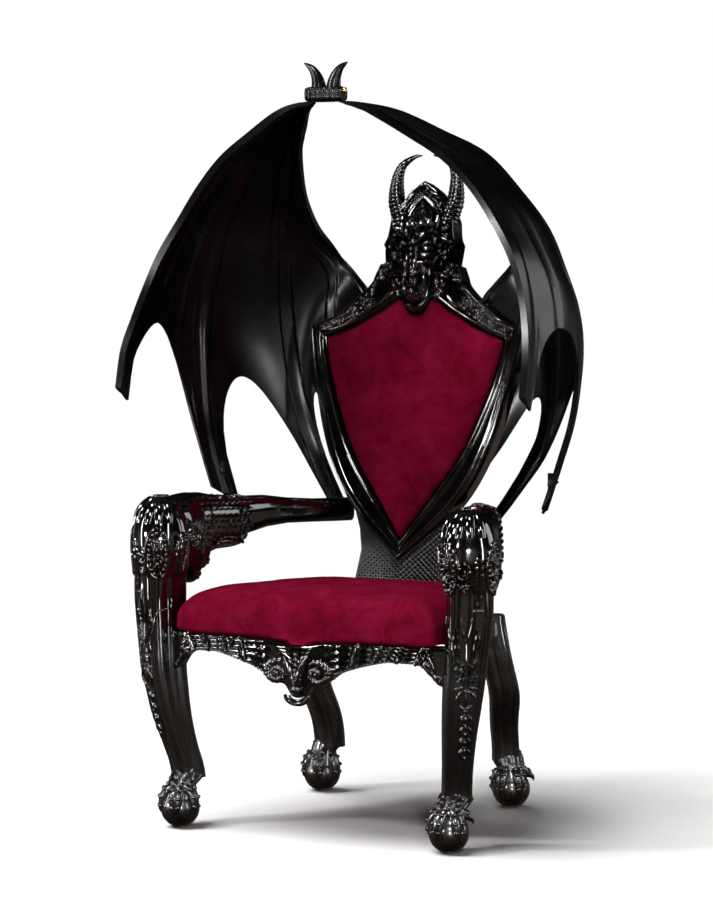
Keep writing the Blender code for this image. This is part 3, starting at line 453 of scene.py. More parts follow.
class Carving:
    """A form and the ornament laid on it, gathered into one mesh."""

    def __init__(self) -> None:
        """Starts with nothing."""
        self.points: list[Array] = []
        self.faces: list[Array] = []
        self.count = 0
        self.surface: BVHTree | None = None

    def add(self, points: Array, faces: Sequence[Array]) -> None:
        """Adds points and the faces that join them."""
        flat = np.asarray(points, float).reshape(-1, 3)
        self.points.append(flat)
        self.faces += [np.asarray(group) + self.count for group in faces]
        self.count += len(flat)

    def loft(self, rings: Array) -> None:
        """Adds a closed skin over equal rings of points, with a fan at each end."""
        count, size = rings.shape[:2]
        ends = np.stack([rings[0].mean(axis=0), rings[-1].mean(axis=0)])
        middle = count * size
        self.add(np.vstack([rings.reshape(-1, 3), ends]), [
            grid_faces(count, size), fan_faces(0, size, middle), fan_faces(middle - size, size, middle + 1)])

    def sheet(self, front: Array, back: Array) -> None:
        """Adds a closed plate between a front and a back grid of points, with strips round its edges."""
        rows, columns = front.shape[:2]
        rings = np.concatenate([front, back[:, ::-1]], axis=1)
        j = np.arange(columns - 1)
        ends = [np.stack([start + j, start + j + 1, start + 2 * columns - 2 - j, start + 2 * columns - 1 - j],
                         axis=1) for start in (0, (rows - 1) * 2 * columns)]
        self.add(rings, [grid_faces(rows, 2 * columns), *ends])

    def settle(self) -> None:
        """Takes what is there so far as the form that ornament is laid on."""
        faces = [face for group in self.faces for face in group.tolist()]
        self.surface = BVHTree.FromPolygons(np.vstack(self.points).tolist(), faces)

    def lay(self, sight: Sight, drawn: Array) -> tuple[Array, Array]:
        """Lays drawn points on the form.

        Args:
            sight: The side that they are drawn from.
            drawn: u and v of each point.

        Returns:
            The points on the surface and the outward directions there.
        """
        inward = Vector(sight.inward)
        laid, outward = [], []
        for u, v in drawn:
            spot = Vector(sight.spot(u, v)) - inward * 2
            place, normal, _, _ = self.surface.ray_cast(spot, inward)
            if place is None:
                place, normal, _, _ = self.surface.find_nearest(spot + inward * 2)
            if normal.dot(inward) > 0:
                normal = -normal
            laid.append(place)
            outward.append(normal)
        return np.array(laid), np.array(outward)

    def rod(self, course: Array, radii: Array | float, normals: Array | None = None, sides: int = 8,
            flat: float = 1.0) -> None:
        """Adds a round or flattened rod along a course.

        Args:
            course: Points of its centre line.
            radii: Radius, or one for each point.
            normals: Upward direction at each point, for a flattened rod.
            sides: Points round the rod.
            flat: Height over width.
        """
        across, ups = course_frames(course, normals)
        size = np.broadcast_to(radii, len(course))[:, None, None]
        angles = full_turn(sides)
        ring = across[:, None] * np.cos(angles)[:, None] + flat * ups[:, None] * np.sin(angles)[:, None]
        self.loft(course[:, None] + size * ring)

    def stroke(self, sight: Sight, drawn: Sequence[Point], radius: float, ends: tuple[float, float] = (1, 1),
               count: int = 16, lift: float = 0.25, flat: float = 1.0) -> None:
        """Lays a raised, tapering line on the form.

        Args:
            sight: The side that it is drawn from.
            drawn: u and v of points along it.
            radius: Half width at its thickest.
            ends: Share of the radius at its start and end.
            count: Points along it.
            lift: Share of the radius that its centre stands proud.
            flat: Height over width.
        """
        line, normals = self.lay(sight, smooth_course(drawn, count))
        t = np.linspace(0, 1, count)
        swell = np.interp(t, (0, 0.4, 0.6, 1), (ends[0], 1, 1, ends[1])) * radius
        self.rod(line + normals * (swell * lift)[:, None], swell, normals, 8, flat)

    def bead(self, place: Array, normal: Array, radius: float, tall: float = 0.8, long: float = 1.0,
             along: Array | None = None) -> None:
        """Adds a bead that sits on a surface.

        Args:
            place: Point on the surface.
            normal: Outward direction there.
            radius: Half width.
            tall: Height as a share of the half width.
            long: Length over width.
            along: Direction of its length.
        """
        seed = along if along is not None else np.array((0.0, 0.0, 1.0)) + 0.01
        up = unit(np.asarray(normal, float))
        length = unit(seed - up * np.dot(seed, up))
        basis = np.stack([length * radius * long, np.cross(up, length) * radius, up * radius * tall])
        self.add(place + BEAD[0] @ basis, BEAD[1])

    def beads(self, sight: Sight, drawn: Sequence[Point], radius: float, count: int, tall: float = 0.8,
              long: float = 1.0) -> None:
        """Lays evenly spaced beads along a drawn line."""
        line, normals = self.lay(sight, smooth_course(drawn, count))
        along = np.gradient(line, axis=0) if count > 1 else np.zeros((1, 3))
        for place, normal, direction in zip(line, normals, along):
            self.bead(place, normal, radius, tall, long, direction)

    def ring(self, sight: Sight, centre: Point, radius: tuple[float, float], thick: float,
             count: int = 24) -> None:
        """Lays a raised oval ring, by its half width and half height."""
        turn = np.linspace(0, 2 * math.pi, count + 1)
        drawn = np.stack([centre[0] + radius[0] * np.sin(turn), centre[1] + radius[1] * np.cos(turn)], axis=1)
        line, normals = self.lay(sight, drawn)
        self.rod(line + normals * thick * 0.25, thick, normals)

    def scroll(self, sight: Sight, centre: Point, radius: float, turns: float, start: float, hand: int,
               thick: float) -> None:
        """Lays a spiral that winds in to a bead.

        Args:
            sight: The side that it is drawn from.
            centre: u and v of its eye.
            radius: Distance of its outer end from the eye.
            turns: How many times it winds.
            start: Angle of its outer end, in degrees from the right.
            hand: 1 to wind in anticlockwise, -1 clockwise.
            thick: Half width of the line at its outer end.
        """
        t = np.linspace(0, 1, int(18 * turns) + 4)
        angle = math.radians(start) + hand * turns * 2 * math.pi * t
        out = radius * (1 - 0.86 * t ** 0.85)
        drawn = np.stack([centre[0] + out * np.cos(angle), centre[1] + out * np.sin(angle)], axis=1)
        line, normals = self.lay(sight, drawn)
        swell = thick * (1 - 0.5 * t)
        self.rod(line + normals * (swell * 0.3)[:, None], swell, normals)
        self.beads(sight, [centre, (centre[0] + 1e-4, centre[1])], radius * 0.24, 1)

    def rosette(self, sight: Sight, centre: Point, radius: float, petals: int = 6) -> None:
        """Lays a flower: a rim, a round of petals and a bead in the middle."""
        self.ring(sight, centre, (radius, radius), radius * 0.16, 20)
        turn = full_turn(petals)
        spots = np.stack([centre[0] + 0.55 * radius * np.cos(turn), centre[1] + 0.55 * radius * np.sin(turn)],
                         axis=1)
        laid, normals = self.lay(sight, np.vstack([spots, centre]))
        for place, normal in zip(laid[:-1], normals[:-1]):
            self.bead(place, normal, radius * 0.27, 0.7, 1.2, laid[-1] - place)
        self.bead(laid[-1], normals[-1], radius * 0.25, 1.1)

    def leaf(self, sight: Sight, drawn: Sequence[Point], width: float, height: float, lobes: int = 4,
             count: int = 22) -> None:
        """Lays a lobed leaf with a sunk middle vein.

        Args:
            sight: The side that it is drawn from.
            drawn: u and v of points from its base to its tip.
            width: Half width at its widest.
            height: How far its blade stands proud.
            lobes: Lobes along each edge.
            count: Points along it.
        """
        line, normals = self.lay(sight, smooth_course(drawn, count))
        across, ups = course_frames(line, normals)
        t = np.linspace(0, 1, count)
        spread = width * np.sin(math.pi * np.clip(t * 0.93 + 0.07, 0, 1)) ** 0.7
        spread = spread * (0.82 + 0.18 * np.abs(np.cos(math.pi * lobes * t))) + 0.0006
        shares = np.array((-1, -0.82, -0.45, -0.12, 0, 0.12, 0.45, 0.82, 1))
        rise = np.array((-0.5, 0.55, 1.0, 0.62, 0.2, 0.62, 1.0, 0.55, -0.5))
        flute = 1 - 0.25 * np.abs(np.sin(math.pi * lobes * t))[:, None] * (np.abs(shares) > 0.3)
        tall = height * (1 - 0.4 * t)[:, None] * rise * flute
        sheet = line[:, None] + across[:, None] * (spread[:, None] * shares)[..., None]
        sheet = sheet + ups[:, None] * tall[..., None]
        under = line[:, None] + across[:, None] * (spread[:, None] * shares)[..., None]
        under = under - ups[:, None] * (0.6 * height)
        self.sheet(sheet, under)

    def spike(self, start: Array, tip: Array, radius: float, bend: Array, count: int = 10,
              sides: int = 10) -> None:
        """Adds a curved, tapering point that stands free."""
        middle = (start + tip) / 2 + bend
        course = smooth_course([start, middle, tip], count)
        radii = radius * (1 - np.linspace(0, 1, count)) ** 0.75 + 0.0004
        self.rod(course, radii, None, sides)

    def object(self, name: str, material: bpy.types.Material, side: Side = Side.RIGHT,
               crease: float = 50.0) -> bpy.types.Object:
        """Makes the mesh object.

        Args:
            name: The object's name.
            material: Its finish.
            side: The left side is the mirror image of what was drawn.
            crease: Angle in degrees above which an edge stays crisp.

        Returns:
            The new object, riding on the throne.
        """
        points = np.vstack(self.points) * (side.value, 1, 1)
        mesh = bpy.data.meshes.new(name)
        mesh.from_pydata(points.tolist(), [], [face for group in self.faces for face in group.tolist()])
        return dress(mesh, name, material, crease)


def dress(mesh: bpy.types.Mesh, name: str, material: bpy.types.Material, crease: float) -> bpy.types.Object:
    """Turns a mesh's faces outwards, gives it its finish and sets it on the throne."""
    work = bmesh.new()
    work.from_mesh(mesh)
    bmesh.ops.remove_doubles(work, verts=work.verts, dist=1e-6)
    bmesh.ops.dissolve_degenerate(work, dist=1e-7, edges=work.edges)
    bmesh.ops.recalc_face_normals(work, faces=work.faces)
    work.to_mesh(mesh)
    work.free()
    mesh.materials.append(material)
    mesh.shade_smooth()
    mesh.set_sharp_from_angle(angle=math.radians(crease))
    item = bpy.data.objects.new(name, mesh)
    bpy.context.scene.collection.objects.link(item)
    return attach(item, BODY)


def stand_for(item: bpy.types.Object, node: str) -> bpy.types.Object:
    """Lets a dressed piece stand for a solid of the frame, by hiding the solid."""
    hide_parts(node)
    return item


def make_pair(carving: Carving, name: str, node: str, material: bpy.types.Material,
              crease: float = 50.0) -> None:
    """Makes the right and the left piece from one carving, with the given finish."""
    for side in Side:
        item = carving.object(f"{name}_{side.label}", material, side, crease)
        stand_for(item, f"{node}_{side.label}")


def settle_cover(item: bpy.types.Object, weave: float, cap: float, hold: float) -> None:
    """Lets a velvet cover settle over its foam: even mesh, cloth under pressure, and a capped swell.

    Args:
        item: The padded piece, which keeps its name and material.
        weave: Edge length of the even mesh.
        cap: The farthest that a point may move.
        hold: Points less than this far above the piece's lowest point stay where they are.
    """
    scene = bpy.context.scene
    bpy.context.view_layer.objects.active = item
    even = item.modifiers.new("even_weave", "REMESH")
    even.mode = "VOXEL"
    even.voxel_size = weave
    bpy.ops.object.modifier_apply(modifier=even.name)
    mesh = item.data
    rest = np.zeros(3 * len(mesh.vertices))
    mesh.vertices.foreach_get("co", rest)
    rest = rest.reshape(-1, 3)
    nailed = item.vertex_groups.new(name="nailed")
    for index in np.flatnonzero(rest[:, 2] < rest[:, 2].min() + hold):
        nailed.add([int(index)], 1.0, "REPLACE")
    cloth = item.modifiers.new("cover", "CLOTH")
    cloth.settings.quality = 5
    cloth.settings.use_pressure = True
    cloth.settings.uniform_pressure_force = 4.0
    cloth.settings.effector_weights.gravity = 0.0
    cloth.settings.vertex_group_mass = nailed.name
    cloth.point_cache.frame_start = 1
    cloth.point_cache.frame_end = SETTLE_FRAMES
    for step in range(1, SETTLE_FRAMES + 1):
        scene.frame_set(step)
    found = item.evaluated_get(bpy.context.evaluated_depsgraph_get())
    swollen = np.zeros(rest.size)
    found.data.vertices.foreach_get("co", swollen)
    move = swollen.reshape(-1, 3) - rest
    far = np.linalg.norm(move, axis=1, keepdims=True)
    move *= np.minimum(1, cap / np.maximum(far, 1e-9))
    LOG.info("%s: cover moved %.1f mm at most", item.name, 1000 * float(far.max()))
    item.modifiers.remove(cloth)
    item.vertex_groups.clear()
    mesh.vertices.foreach_set("co", (rest + move).ravel())
    scene.frame_set(1)
    smooth = item.modifiers.new("smooth_cover", "SUBSURF")
    smooth.levels = smooth.render_levels = 1
    bpy.ops.object.modifier_apply(modifier=smooth.name)
    mesh = item.data
    mesh.shade_smooth()


def rounded_reach(angles: Array, half: Array, power: float = 2.8) -> Array:
    """Distance from the middle to the edge of a rounded square at each angle."""
    return half * (np.abs(np.cos(angles)) ** power + np.abs(np.sin(angles)) ** power) ** (-1 / power)


def angle_between(angles: Array, centre: float) -> Array:
    """Signed turn of each angle from the centre one, between minus and plus half a turn."""
    return (angles - centre + math.pi) % (2 * math.pi) - math.pi


@dataclass
class Foot:
    """A ball held by a paw: three thick toes with paired knuckles and a shorter thumb."""

    ball: tuple[float, float]
    ankle: tuple[float, float]
    facing: float
    ball_radius: float = 0.0465
    paw_rise: float = 0.061
    paw_reach: float = 0.0410
    ankle_half: float = 0.036
    ankle_height: float = 0.138
    toe_radius: float = 0.0190
    knuckle_radius: float = 0.0080
    toe_turns: tuple[float, ...] = (-112, -44, 24)
    thumb_turn: float = 94

    def carve(self, carving: Carving) -> None:
        """Adds the ball, the paw over it, its toes, knuckles and claws to a leg's carving."""
        points = np.array((*self.ball, self.ball_radius)) + BALL[0] * self.ball_radius
        points[:, 2] = np.maximum(points[:, 2], 0)
        carving.add(points, BALL[1])
        self.palm(carving)
        for turn in self.toe_turns:
            self.toe(carving, self.facing + math.radians(turn), False)
        self.toe(carving, self.facing + math.radians(self.thumb_turn), True)

    def palm(self, carving: Carving) -> None:
        """Adds the paw's back, from the ankle down over the top of the ball."""
        ankle = np.array((*self.ankle, self.ankle_height))
        middle = np.array((*self.ball, self.paw_rise))
        angles = full_turn(48)
        ring = np.stack([np.cos(angles), np.sin(angles), np.zeros(48)], axis=1)
        rings = []
        for t in np.linspace(0, 1, 18):
            lift = math.radians(78 * (1 - t) - 6 * t)
            centre = middle + (0, 0, self.paw_reach * math.sin(lift))
            blend = (1 - t) ** 2
            centre = centre * (1 - blend) + ankle * blend
            reach = self.paw_reach * math.cos(lift) * (1 - blend) + 0.93 * self.ankle_half * blend
            rings.append(centre + max(reach, 0.030) * ring)
        carving.loft(np.array(rings))

    def toe(self, carving: Carving, angle: float, thumb: bool) -> None:
        """Adds one toe along the paw: a flattened rod, two rows of knuckles on it, and a claw."""
        out = np.array((math.cos(angle), math.sin(angle), 0.0))
        up = np.array((0, 0, 1.0))
        middle = np.array((*self.ball, self.paw_rise))
        start = np.array((*self.ankle, self.ankle_height - 0.014)) + out * (self.ankle_half - 0.012)
        lifts = np.radians((60, 44, 30) if thumb else (64, 44, 22, 0, -18))
        reach = self.paw_reach + (0.003 if thumb else 0.0)
        drape = [middle + reach * (math.cos(lift) * out + math.sin(lift) * up) for lift in lifts]
        course = smooth_course([start, *drape], 48)
        t = np.linspace(0, 1, 48)
        swell = self.toe_radius * (1 - 0.20 * t)
        normals = unit(course - middle)
        carving.rod(course, swell, normals, 16, 0.68)
        side = np.cross(normals, unit(np.gradient(course, axis=0)))
        rows = 3 if thumb else 6
        for row in range(rows):
            k = int(6 + row * 38 / (rows - 1))
            size = self.knuckle_radius * (1 - 0.04 * row)
            for step in (-0.52, 0.52):
                place = course[k] + side[k] * swell[k] * step + normals[k] * swell[k] * 0.52
                carving.bead(place, normals[k], size, 0.9, 0.80)
        low = math.radians(4 if thumb else -44)
        reach = self.paw_reach + (0.016 if thumb else 0.004)
        tip = middle + reach * (math.cos(low) * out + math.sin(low) * up)
        carving.spike(course[-5], tip, self.toe_radius * 0.60, out * 0.006, 12, 12)


@dataclass
class FrontLeg:
    """A cabriole leg with a leaf at its knee, a ringed boss, and husks that fall to the ankle."""

    spread: float = 0.401
    line_y: float = -0.284
    top: float = 0.5487
    facing: float = math.radians(-60)
    rows: int = 150
    columns: int = 104
    ridge: float = 0.0050
    cove: float = 0.0050
    knee_leaves: tuple[tuple[tuple[Point, ...], float, float, int], ...] = (
        (((0.024, 0.522), (0.024, 0.490), (0.014, 0.452)), 0.0085, 0.0065, 3),
        (((0.003, 0.440), (0.016, 0.424), (0.022, 0.450)), 0.0085, 0.0075, 2),
        (((0.002, 0.420), (0.014, 0.404), (0.024, 0.414)), 0.0075, 0.0070, 2))

    def axis(self, height: Array) -> tuple[Array, Array, Array]:
        """Centre and half width of the leg at each height."""
        share = height / self.top
        x = self.spread + np.interp(share, (0.24, 0.37, 0.51, 0.69, 0.86, 1),
                                    (-0.051, -0.038, -0.026, -0.012, -0.005, 0))
        y = self.line_y + SHIFT_Y + np.interp(share, (0.24, 0.37, 0.51, 0.69, 1),
                                              (0.044, 0.020, 0.002, -0.008, 0))
        half = np.interp(share, (0.24, 0.31, 0.37, 0.49, 0.66, 0.86, 1),
                         (0.037, 0.037, 0.038, 0.042, 0.049, 0.053, 0.056))
        return x, y, half

    def smoothed(self, height: Array) -> tuple[Array, Array, Array]:
        """Centre and half width with the corners of their course eased."""
        steps = np.linspace(-0.03, 0.03, 9)
        parts = [self.axis(height + step) for step in steps]
        return tuple(np.mean([part[k] for part in parts], axis=0) for k in range(3))

    def section(self, angles: Array, half: Array, fade: Array | float) -> Array:
        """Reach of the leg's section: coves with a middle ridge between four rounded corners."""
        out = rounded_reach(angles - self.facing, 0.95 * half, 4.0)
        for face in range(4):
            turn = angle_between(angles, self.facing + face * math.pi / 2)
            near = np.abs(turn) < math.radians(44)
            hollow = np.where(near, np.cos(turn * 90 / 44) ** 2, 0)
            out = out - fade * self.cove * hollow * (0.55 if face == 0 else 1.0)
            out = out + fade * self.ridge * np.exp(-(turn / 0.13) ** 2) * (0.55 if face == 0 else 0.75)
        return out

    def shaft(self) -> Array:
        """Rings of the shaft from the paw up to the arm."""
        height = np.linspace(0.114, self.top, self.rows)
        x, y, half = self.smoothed(height)
        angles = self.facing + full_turn(self.columns)
        fade = np.interp(height, (0.12, 0.2, 1), (0.5, 1, 1))[:, None]
        out = self.section(angles[None], half[:, None], fade)
        return level_rings(x, y, height, angles, out)

    def ornament(self, carving: Carving) -> None:
        """Carves the knee's leaf, its lobes, the boss and the husks."""
        x, y, _ = self.axis(np.array(0.40))
        sight = Sight.turned(30, float(x), float(y))
        for hand in (-1, 1):
            rim = mirrored(hand, (0.014, 0.546), (0.010, 0.520), (0.003, 0.495), (0, 0.484))
            carving.stroke(sight, rim, 0.0034, (1, 0.6))
            edge = mirrored(hand, (0.043, 0.545), (0.037, 0.51), (0.030, 0.46), (0.026, 0.42))
            carving.stroke(sight, edge, 0.0030, (0.7, 0.4))
            for drawn, width, height, lobes in self.knee_leaves:
                carving.leaf(sight, mirrored(hand, *drawn), width, height, lobes)
            carving.beads(sight, mirrored(hand, (0.010, 0.389), (0.022, 0.386)), 0.0044, 3)
            vein = mirrored(hand, (0.018, 0.336), (0.016, 0.27), (0.009, 0.19))
            carving.stroke(sight, vein, 0.0022, (0.6, 0.3), 20)
            for row in range(4):
                v = 0.326 - 0.026 * row
                husk = mirrored(hand, (0.001, v), (0.010, v - 0.010), (0.006, v - 0.028))
                carving.leaf(sight, husk, 0.0056 - 0.0006 * row, 0.0060, 2, 14)
        carving.stroke(sight, ((0, 0.488), (0, 0.455), (0, 0.425), (0, 0.396)), 0.0046, (0.5, 0.9), 20, 0.5)
        carving.beads(sight, ((0, 0.390), (0, 0.3899)), 0.0066, 1, 1.0)
        carving.ring(sight, (0, 0.361), (0.0200, 0.0200), 0.0044)
        carving.stroke(sight, ((0, 0.378), (0, 0.361), (0, 0.344)), 0.0048, (0.7, 0.7), 10, 0.4)
        carving.beads(sight, ((0, 0.334), (0, 0.300), (0, 0.262), (0, 0.222)), 0.0056, 7, 1.0, 1.4)

    def build(self, finishes: Finishes) -> None:
        """Builds both front legs."""
        carving = Carving()
        carving.loft(self.shaft())
        carving.settle()
        self.ornament(carving)
        ball = (self.spread - 0.051, self.line_y + 0.001 + SHIFT_Y)
        ankle = (self.spread - 0.051, self.line_y + 0.040 + SHIFT_Y)
        Foot(ball, ankle, self.facing).carve(carving)
        make_pair(carving, "carved_front_leg", "front_leg", finishes.rubbed)


@dataclass
class RearLeg:
    """A plain cabriole leg that bows out and back to its ball and claw."""

    spread: float = 0.238
    line_y: float = REAR_LINE_Y
    top: float = 0.484
    facing: float = math.radians(-60)
    rows: int = 90
    columns: int = 72

    def axis(self, height: Array) -> tuple[Array, Array, Array]:
        """Centre and half width of the leg at each height."""
        share = height / self.top
        places = (0.3, 0.42, 0.6, 0.8, 1)
        x = self.spread + np.interp(share, places, (0.004, 0.006, 0.026, 0.012, 0))
        y = self.line_y + SHIFT_Y + np.interp(share, places, (0.092, 0.074, 0.034, 0.008, 0))
        half = np.interp(share, (0.3, 0.4, 0.6, 0.8, 1), (0.035, 0.036, 0.040, 0.040, 0.036))
        return x, y, half

    def shaft(self) -> Array:
        """Rings of the shaft, with a soft arris down each face."""
        height = np.linspace(0.114, self.top, self.rows)
        steps = np.linspace(-0.028, 0.028, 9)
        parts = [self.axis(height + step) for step in steps]
        x, y, half = (np.mean([part[k] for part in parts], axis=0) for k in range(3))
        angles = self.facing + full_turn(self.columns)
        fade = np.interp(height, (0.12, 0.2, 0.40, 0.44), (0, 0.7, 0.7, 0))[:, None]
        out = FrontLeg().section(angles[None], half[:, None], fade)
        return level_rings(x, y, height, angles, out)

    def build(self, finishes: Finishes) -> None:
        """Builds both rear legs."""
        carving = Carving()
        carving.loft(self.shaft())
        ball = (self.spread + 0.022, self.line_y + 0.084 + SHIFT_Y)
        ankle = (self.spread + 0.010, self.line_y + 0.092 + SHIFT_Y)
        Foot(ball, ankle, self.facing).carve(carving)
        make_pair(carving, "carved_rear_leg", "rear_leg", finishes.rubbed)


@dataclass
class Arm:
    """An arm whose front turns down into the leg: knuckles on top, medallions and leaves below them."""

    leg: FrontLeg
    spread: float = 0.401
    line_y: float = -0.284
    underside: float = 0.549
    rear: tuple[float, float] = (0.162, 0.300)
    rows: int = 130
    columns: int = 72
    rail: tuple[tuple[float, float, float, float], ...] = (
        (0.12, 0.050, 0.140, 0.222), (0.16, 0.056, 0.070, 0.232), (0.20, 0.055, 0.030, 0.238),
        (0.235, 0.053, 0.022, 0.240), (0.245, 0.050, 0.050, 0.239), (0.285, 0.048, 0.054, 0.238),
        (0.300, 0.045, 0.088, 0.236), (0.345, 0.042, 0.098, 0.230), (0.42, 0.040, 0.100, 0.224),
        (0.455, 0.036, 0.104, 0.224), (0.480, 0.033, 0.128, 0.222), (0.58, 0.029, 0.142, 0.220),
        (0.68, 0.025, 0.147, 0.210), (0.80, 0.024, 0.145, 0.203), (0.90, 0.024, 0.143, 0.201),
        (1.00, 0.024, 0.142, 0.200))
    fist: tuple[tuple[float, float, float], ...] = (
        (0.0, 0.0555, 4.0), (0.040, 0.0550, 3.8), (0.062, 0.0565, 3.2), (0.085, 0.0610, 2.8),
        (0.12, 0.0645, 2.5), (0.155, 0.0640, 2.4), (0.185, 0.0585, 2.3), (0.208, 0.0490, 2.2),
        (0.226, 0.0350, 2.1), (0.236, 0.0190, 2.0))
    fist_columns: int = 104
    steps: int = 400
    flank_leaves: tuple[tuple[tuple[Point, ...], float, float, int, int], ...] = (
        (((0.130, 0.668), (0.170, 0.672), (0.214, 0.664)), 0.0130, 0.0070, 6, 30),
        (((0.070, 0.640), (0.100, 0.630), (0.128, 0.618)), 0.0120, 0.0070, 5, 24),
        (((0.062, 0.605), (0.085, 0.592), (0.104, 0.586)), 0.0100, 0.0060, 4, 20))

    @property
    def centre(self) -> tuple[float, float]:
        """Middle of the fist in plan."""
        return self.spread - 0.003, self.line_y + SHIFT_Y

    def course(self) -> Array:
        """The arm's centre line in plan, from the fist back to the shield."""
        x, y = self.spread, self.line_y
        return smooth_course(((x - 0.004, y - 0.066), (x - 0.004, y), (x - 0.018, y + 0.090),
                              (x - 0.050, y + 0.180), (x - 0.112, y + 0.330), (x - 0.160, y + 0.434),
                              self.rear), self.steps + 1) + (0, SHIFT_Y)

    def rail_rings(self) -> Array:
        """Rings of the arm behind the fist, with its stepped jaw and the scroll below it."""
        course = self.course()
        table = np.array(self.rail)
        angles = full_turn(self.columns)
        rings = []
        for share in np.linspace(0.12, 0.955, self.rows):
            half, low, high = (np.interp(share, table[:, 0], table[:, k]) for k in (1, 2, 3))
            k = min(int(round(share * self.steps)), self.steps - 2)
            ahead = unit(course[k + 2] - course[k - 2])
            across = np.array((-ahead[1], ahead[0]))
            tall = (high - low) / 2
            out = (np.abs(np.cos(angles) / half) ** 2.9 + np.abs(np.sin(angles) / tall) ** 2.9) ** (-1 / 2.9)
            height = self.underside + (high + low) / 2 + out * np.sin(angles)
            rings.append(np.column_stack([course[k] + np.outer(out * np.cos(angles), across), height]))
        return np.array(rings)

    def fist_rings(self) -> Array:
        """Rings of the fist, which carries on the leg's section and swells into a rounded head."""
        table = np.array(self.fist)
        count = self.fist_columns
        angles = self.leg.facing + full_turn(count)
        dome = 0.2 + 0.0405 * np.sin(np.linspace(0.08, math.pi / 2, 22))
        rings = []
        for lift in np.concatenate([np.linspace(0, 0.2, 44), dome]):
            half, power = (np.interp(lift, table[:, 0], table[:, k]) for k in (1, 2))
            top_x, top_y, top_half = self.leg.axis(np.array(self.leg.top))
            if lift < 0.06:
                out = self.leg.section(angles, np.full(count, float(top_half)), 1 - lift / 0.08)
                x, y = float(top_x), float(top_y)
            else:
                out = rounded_reach(angles - self.leg.facing, np.full(count, half), power)
                x, y = self.centre
            rings.append(np.column_stack([x + out * np.cos(angles), y + out * np.sin(angles),
                                          np.full(count, self.underside + 0.0002 + lift)]))
        blended = np.array(rings)
        for _ in range(3):
            blended[1:-1] = (blended[:-2] + 2 * blended[1:-1] + blended[2:]) / 4
        blended[0] = rings[0]
        return blended

    def knuckles(self, carving: Carving) -> None:
        """Carves the fingers that curl over the top and front of the fist, each with paired knuckles."""
        x, y = self.centre
        for degrees in (-50, -24, 2, 28, 54):
            sight = Sight.turned(degrees, x, y)
            finger = (0, 0.783), (0, 0.764), (0, 0.744), (0, 0.726)
            carving.stroke(sight, finger, 0.0118, (0.7, 0.7), 12, 0.05, 0.7)
            for v in (0.778, 0.762, 0.746, 0.730):
                carving.beads(sight, ((0, v), (0, v - 1e-4)), 0.0088, 1, 1.1, 0.8)

    def medallions(self, carving: Carving) -> None:
        """Carves the beaded ovals, scrolls and falling leaves below the knuckles."""
        x, y = self.centre
        for degrees in (-22, 84):
            sight = Sight.turned(degrees, x, y)
            carving.ring(sight, (0, 0.656), (0.0270, 0.0580), 0.0044, 40)
            turn = np.linspace(0, 2 * math.pi, 25)
            border = np.stack([0.0200 * np.sin(turn), 0.656 + 0.0490 * np.cos(turn)], axis=1)
            carving.beads(sight, border, 0.0050, 20, 1.2)
            carving.rosette(sight, (0, 0.676), 0.0130, 7)
            carving.scroll(sight, (0, 0.640), 0.0130, 1.5, 90, 1, 0.0044)
            carving.leaf(sight, ((0, 0.632), (0.002, 0.622), (0, 0.612)), 0.0090, 0.0065, 3, 14)
        inner = Sight.turned(14, x, y)
        carving.scroll(inner, (0.000, 0.645), 0.0160, 1.7, 90, 1, 0.0042)
        carving.scroll(inner, (0.006, 0.614), 0.0110, 1.5, 250, -1, 0.0036)
        carving.ring(inner, (0, 0.640), (0.0175, 0.0300), 0.0030, 26)
        drop = Sight.turned(46, x, y)
        carving.leaf(drop, ((-0.002, 0.690), (0, 0.640), (0.002, 0.560)), 0.0150, 0.0075, 8, 34)
        carving.leaf(drop, ((0.012, 0.680), (0.016, 0.650), (0.010, 0.610)), 0.0080, 0.0070, 4)
        carving.leaf(drop, ((-0.014, 0.670), (-0.018, 0.640), (-0.010, 0.600)), 0.0080, 0.0070, 4)
        carving.beads(drop, ((-0.006, 0.562), (0.010, 0.562)), 0.0046, 3, 1.0)
        for degrees in (-74, 118):
            sight = Sight.turned(degrees, x, y)
            carving.leaf(sight, ((0, 0.700), (0.004, 0.660), (0, 0.600)), 0.0130, 0.0070, 6, 28)
            carving.beads(sight, ((-0.016, 0.700), (-0.019, 0.660), (-0.012, 0.615)), 0.0040, 12, 1.0)

    def flanks(self, carving: Carving) -> None:
        """Carves both flanks: a large ringed rosette, fur-like lines, and the scroll below the rail."""
        y = self.line_y + SHIFT_Y
        for degrees, mirror in ((-90, -1), (90, 1)):
            sight = Sight.turned(degrees, self.spread, 0)
            spot = (mirror * (y + 0.046), 0.690)
            carving.rosette(sight, spot, 0.0165, 8)
            carving.ring(sight, spot, (0.0225, 0.0225), 0.0034, 28)
            for row in range(9):
                for column in range(10):
                    start = y + 0.078 + 0.0175 * column + 0.006 * (row % 2)
                    v = 0.776 - 0.0145 * row - 0.0006 * column
                    low = np.interp(0.62 * (start - y), (0.05, 0.105, 0.13, 0.20), (0.60, 0.64, 0.665, 0.70))
                    if v < low:
                        continue
                    hair = mirrored(mirror, (start, v), (start + 0.009, v + 0.0026),
                                    (start + 0.0175, v - 0.0012))
                    carving.stroke(sight, hair, 0.0034, (0.7, 0.2), 7, 0.35)
            carving.scroll(sight, (mirror * (y + 0.232), 0.674), 0.0155, 1.4, 200, -mirror, 0.0044)
            for drawn, width, height, lobes, count in self.flank_leaves:
                leaf = mirrored(mirror, *((y + along, rise) for along, rise in drawn))
                carving.leaf(sight, leaf, width, height, lobes, count)

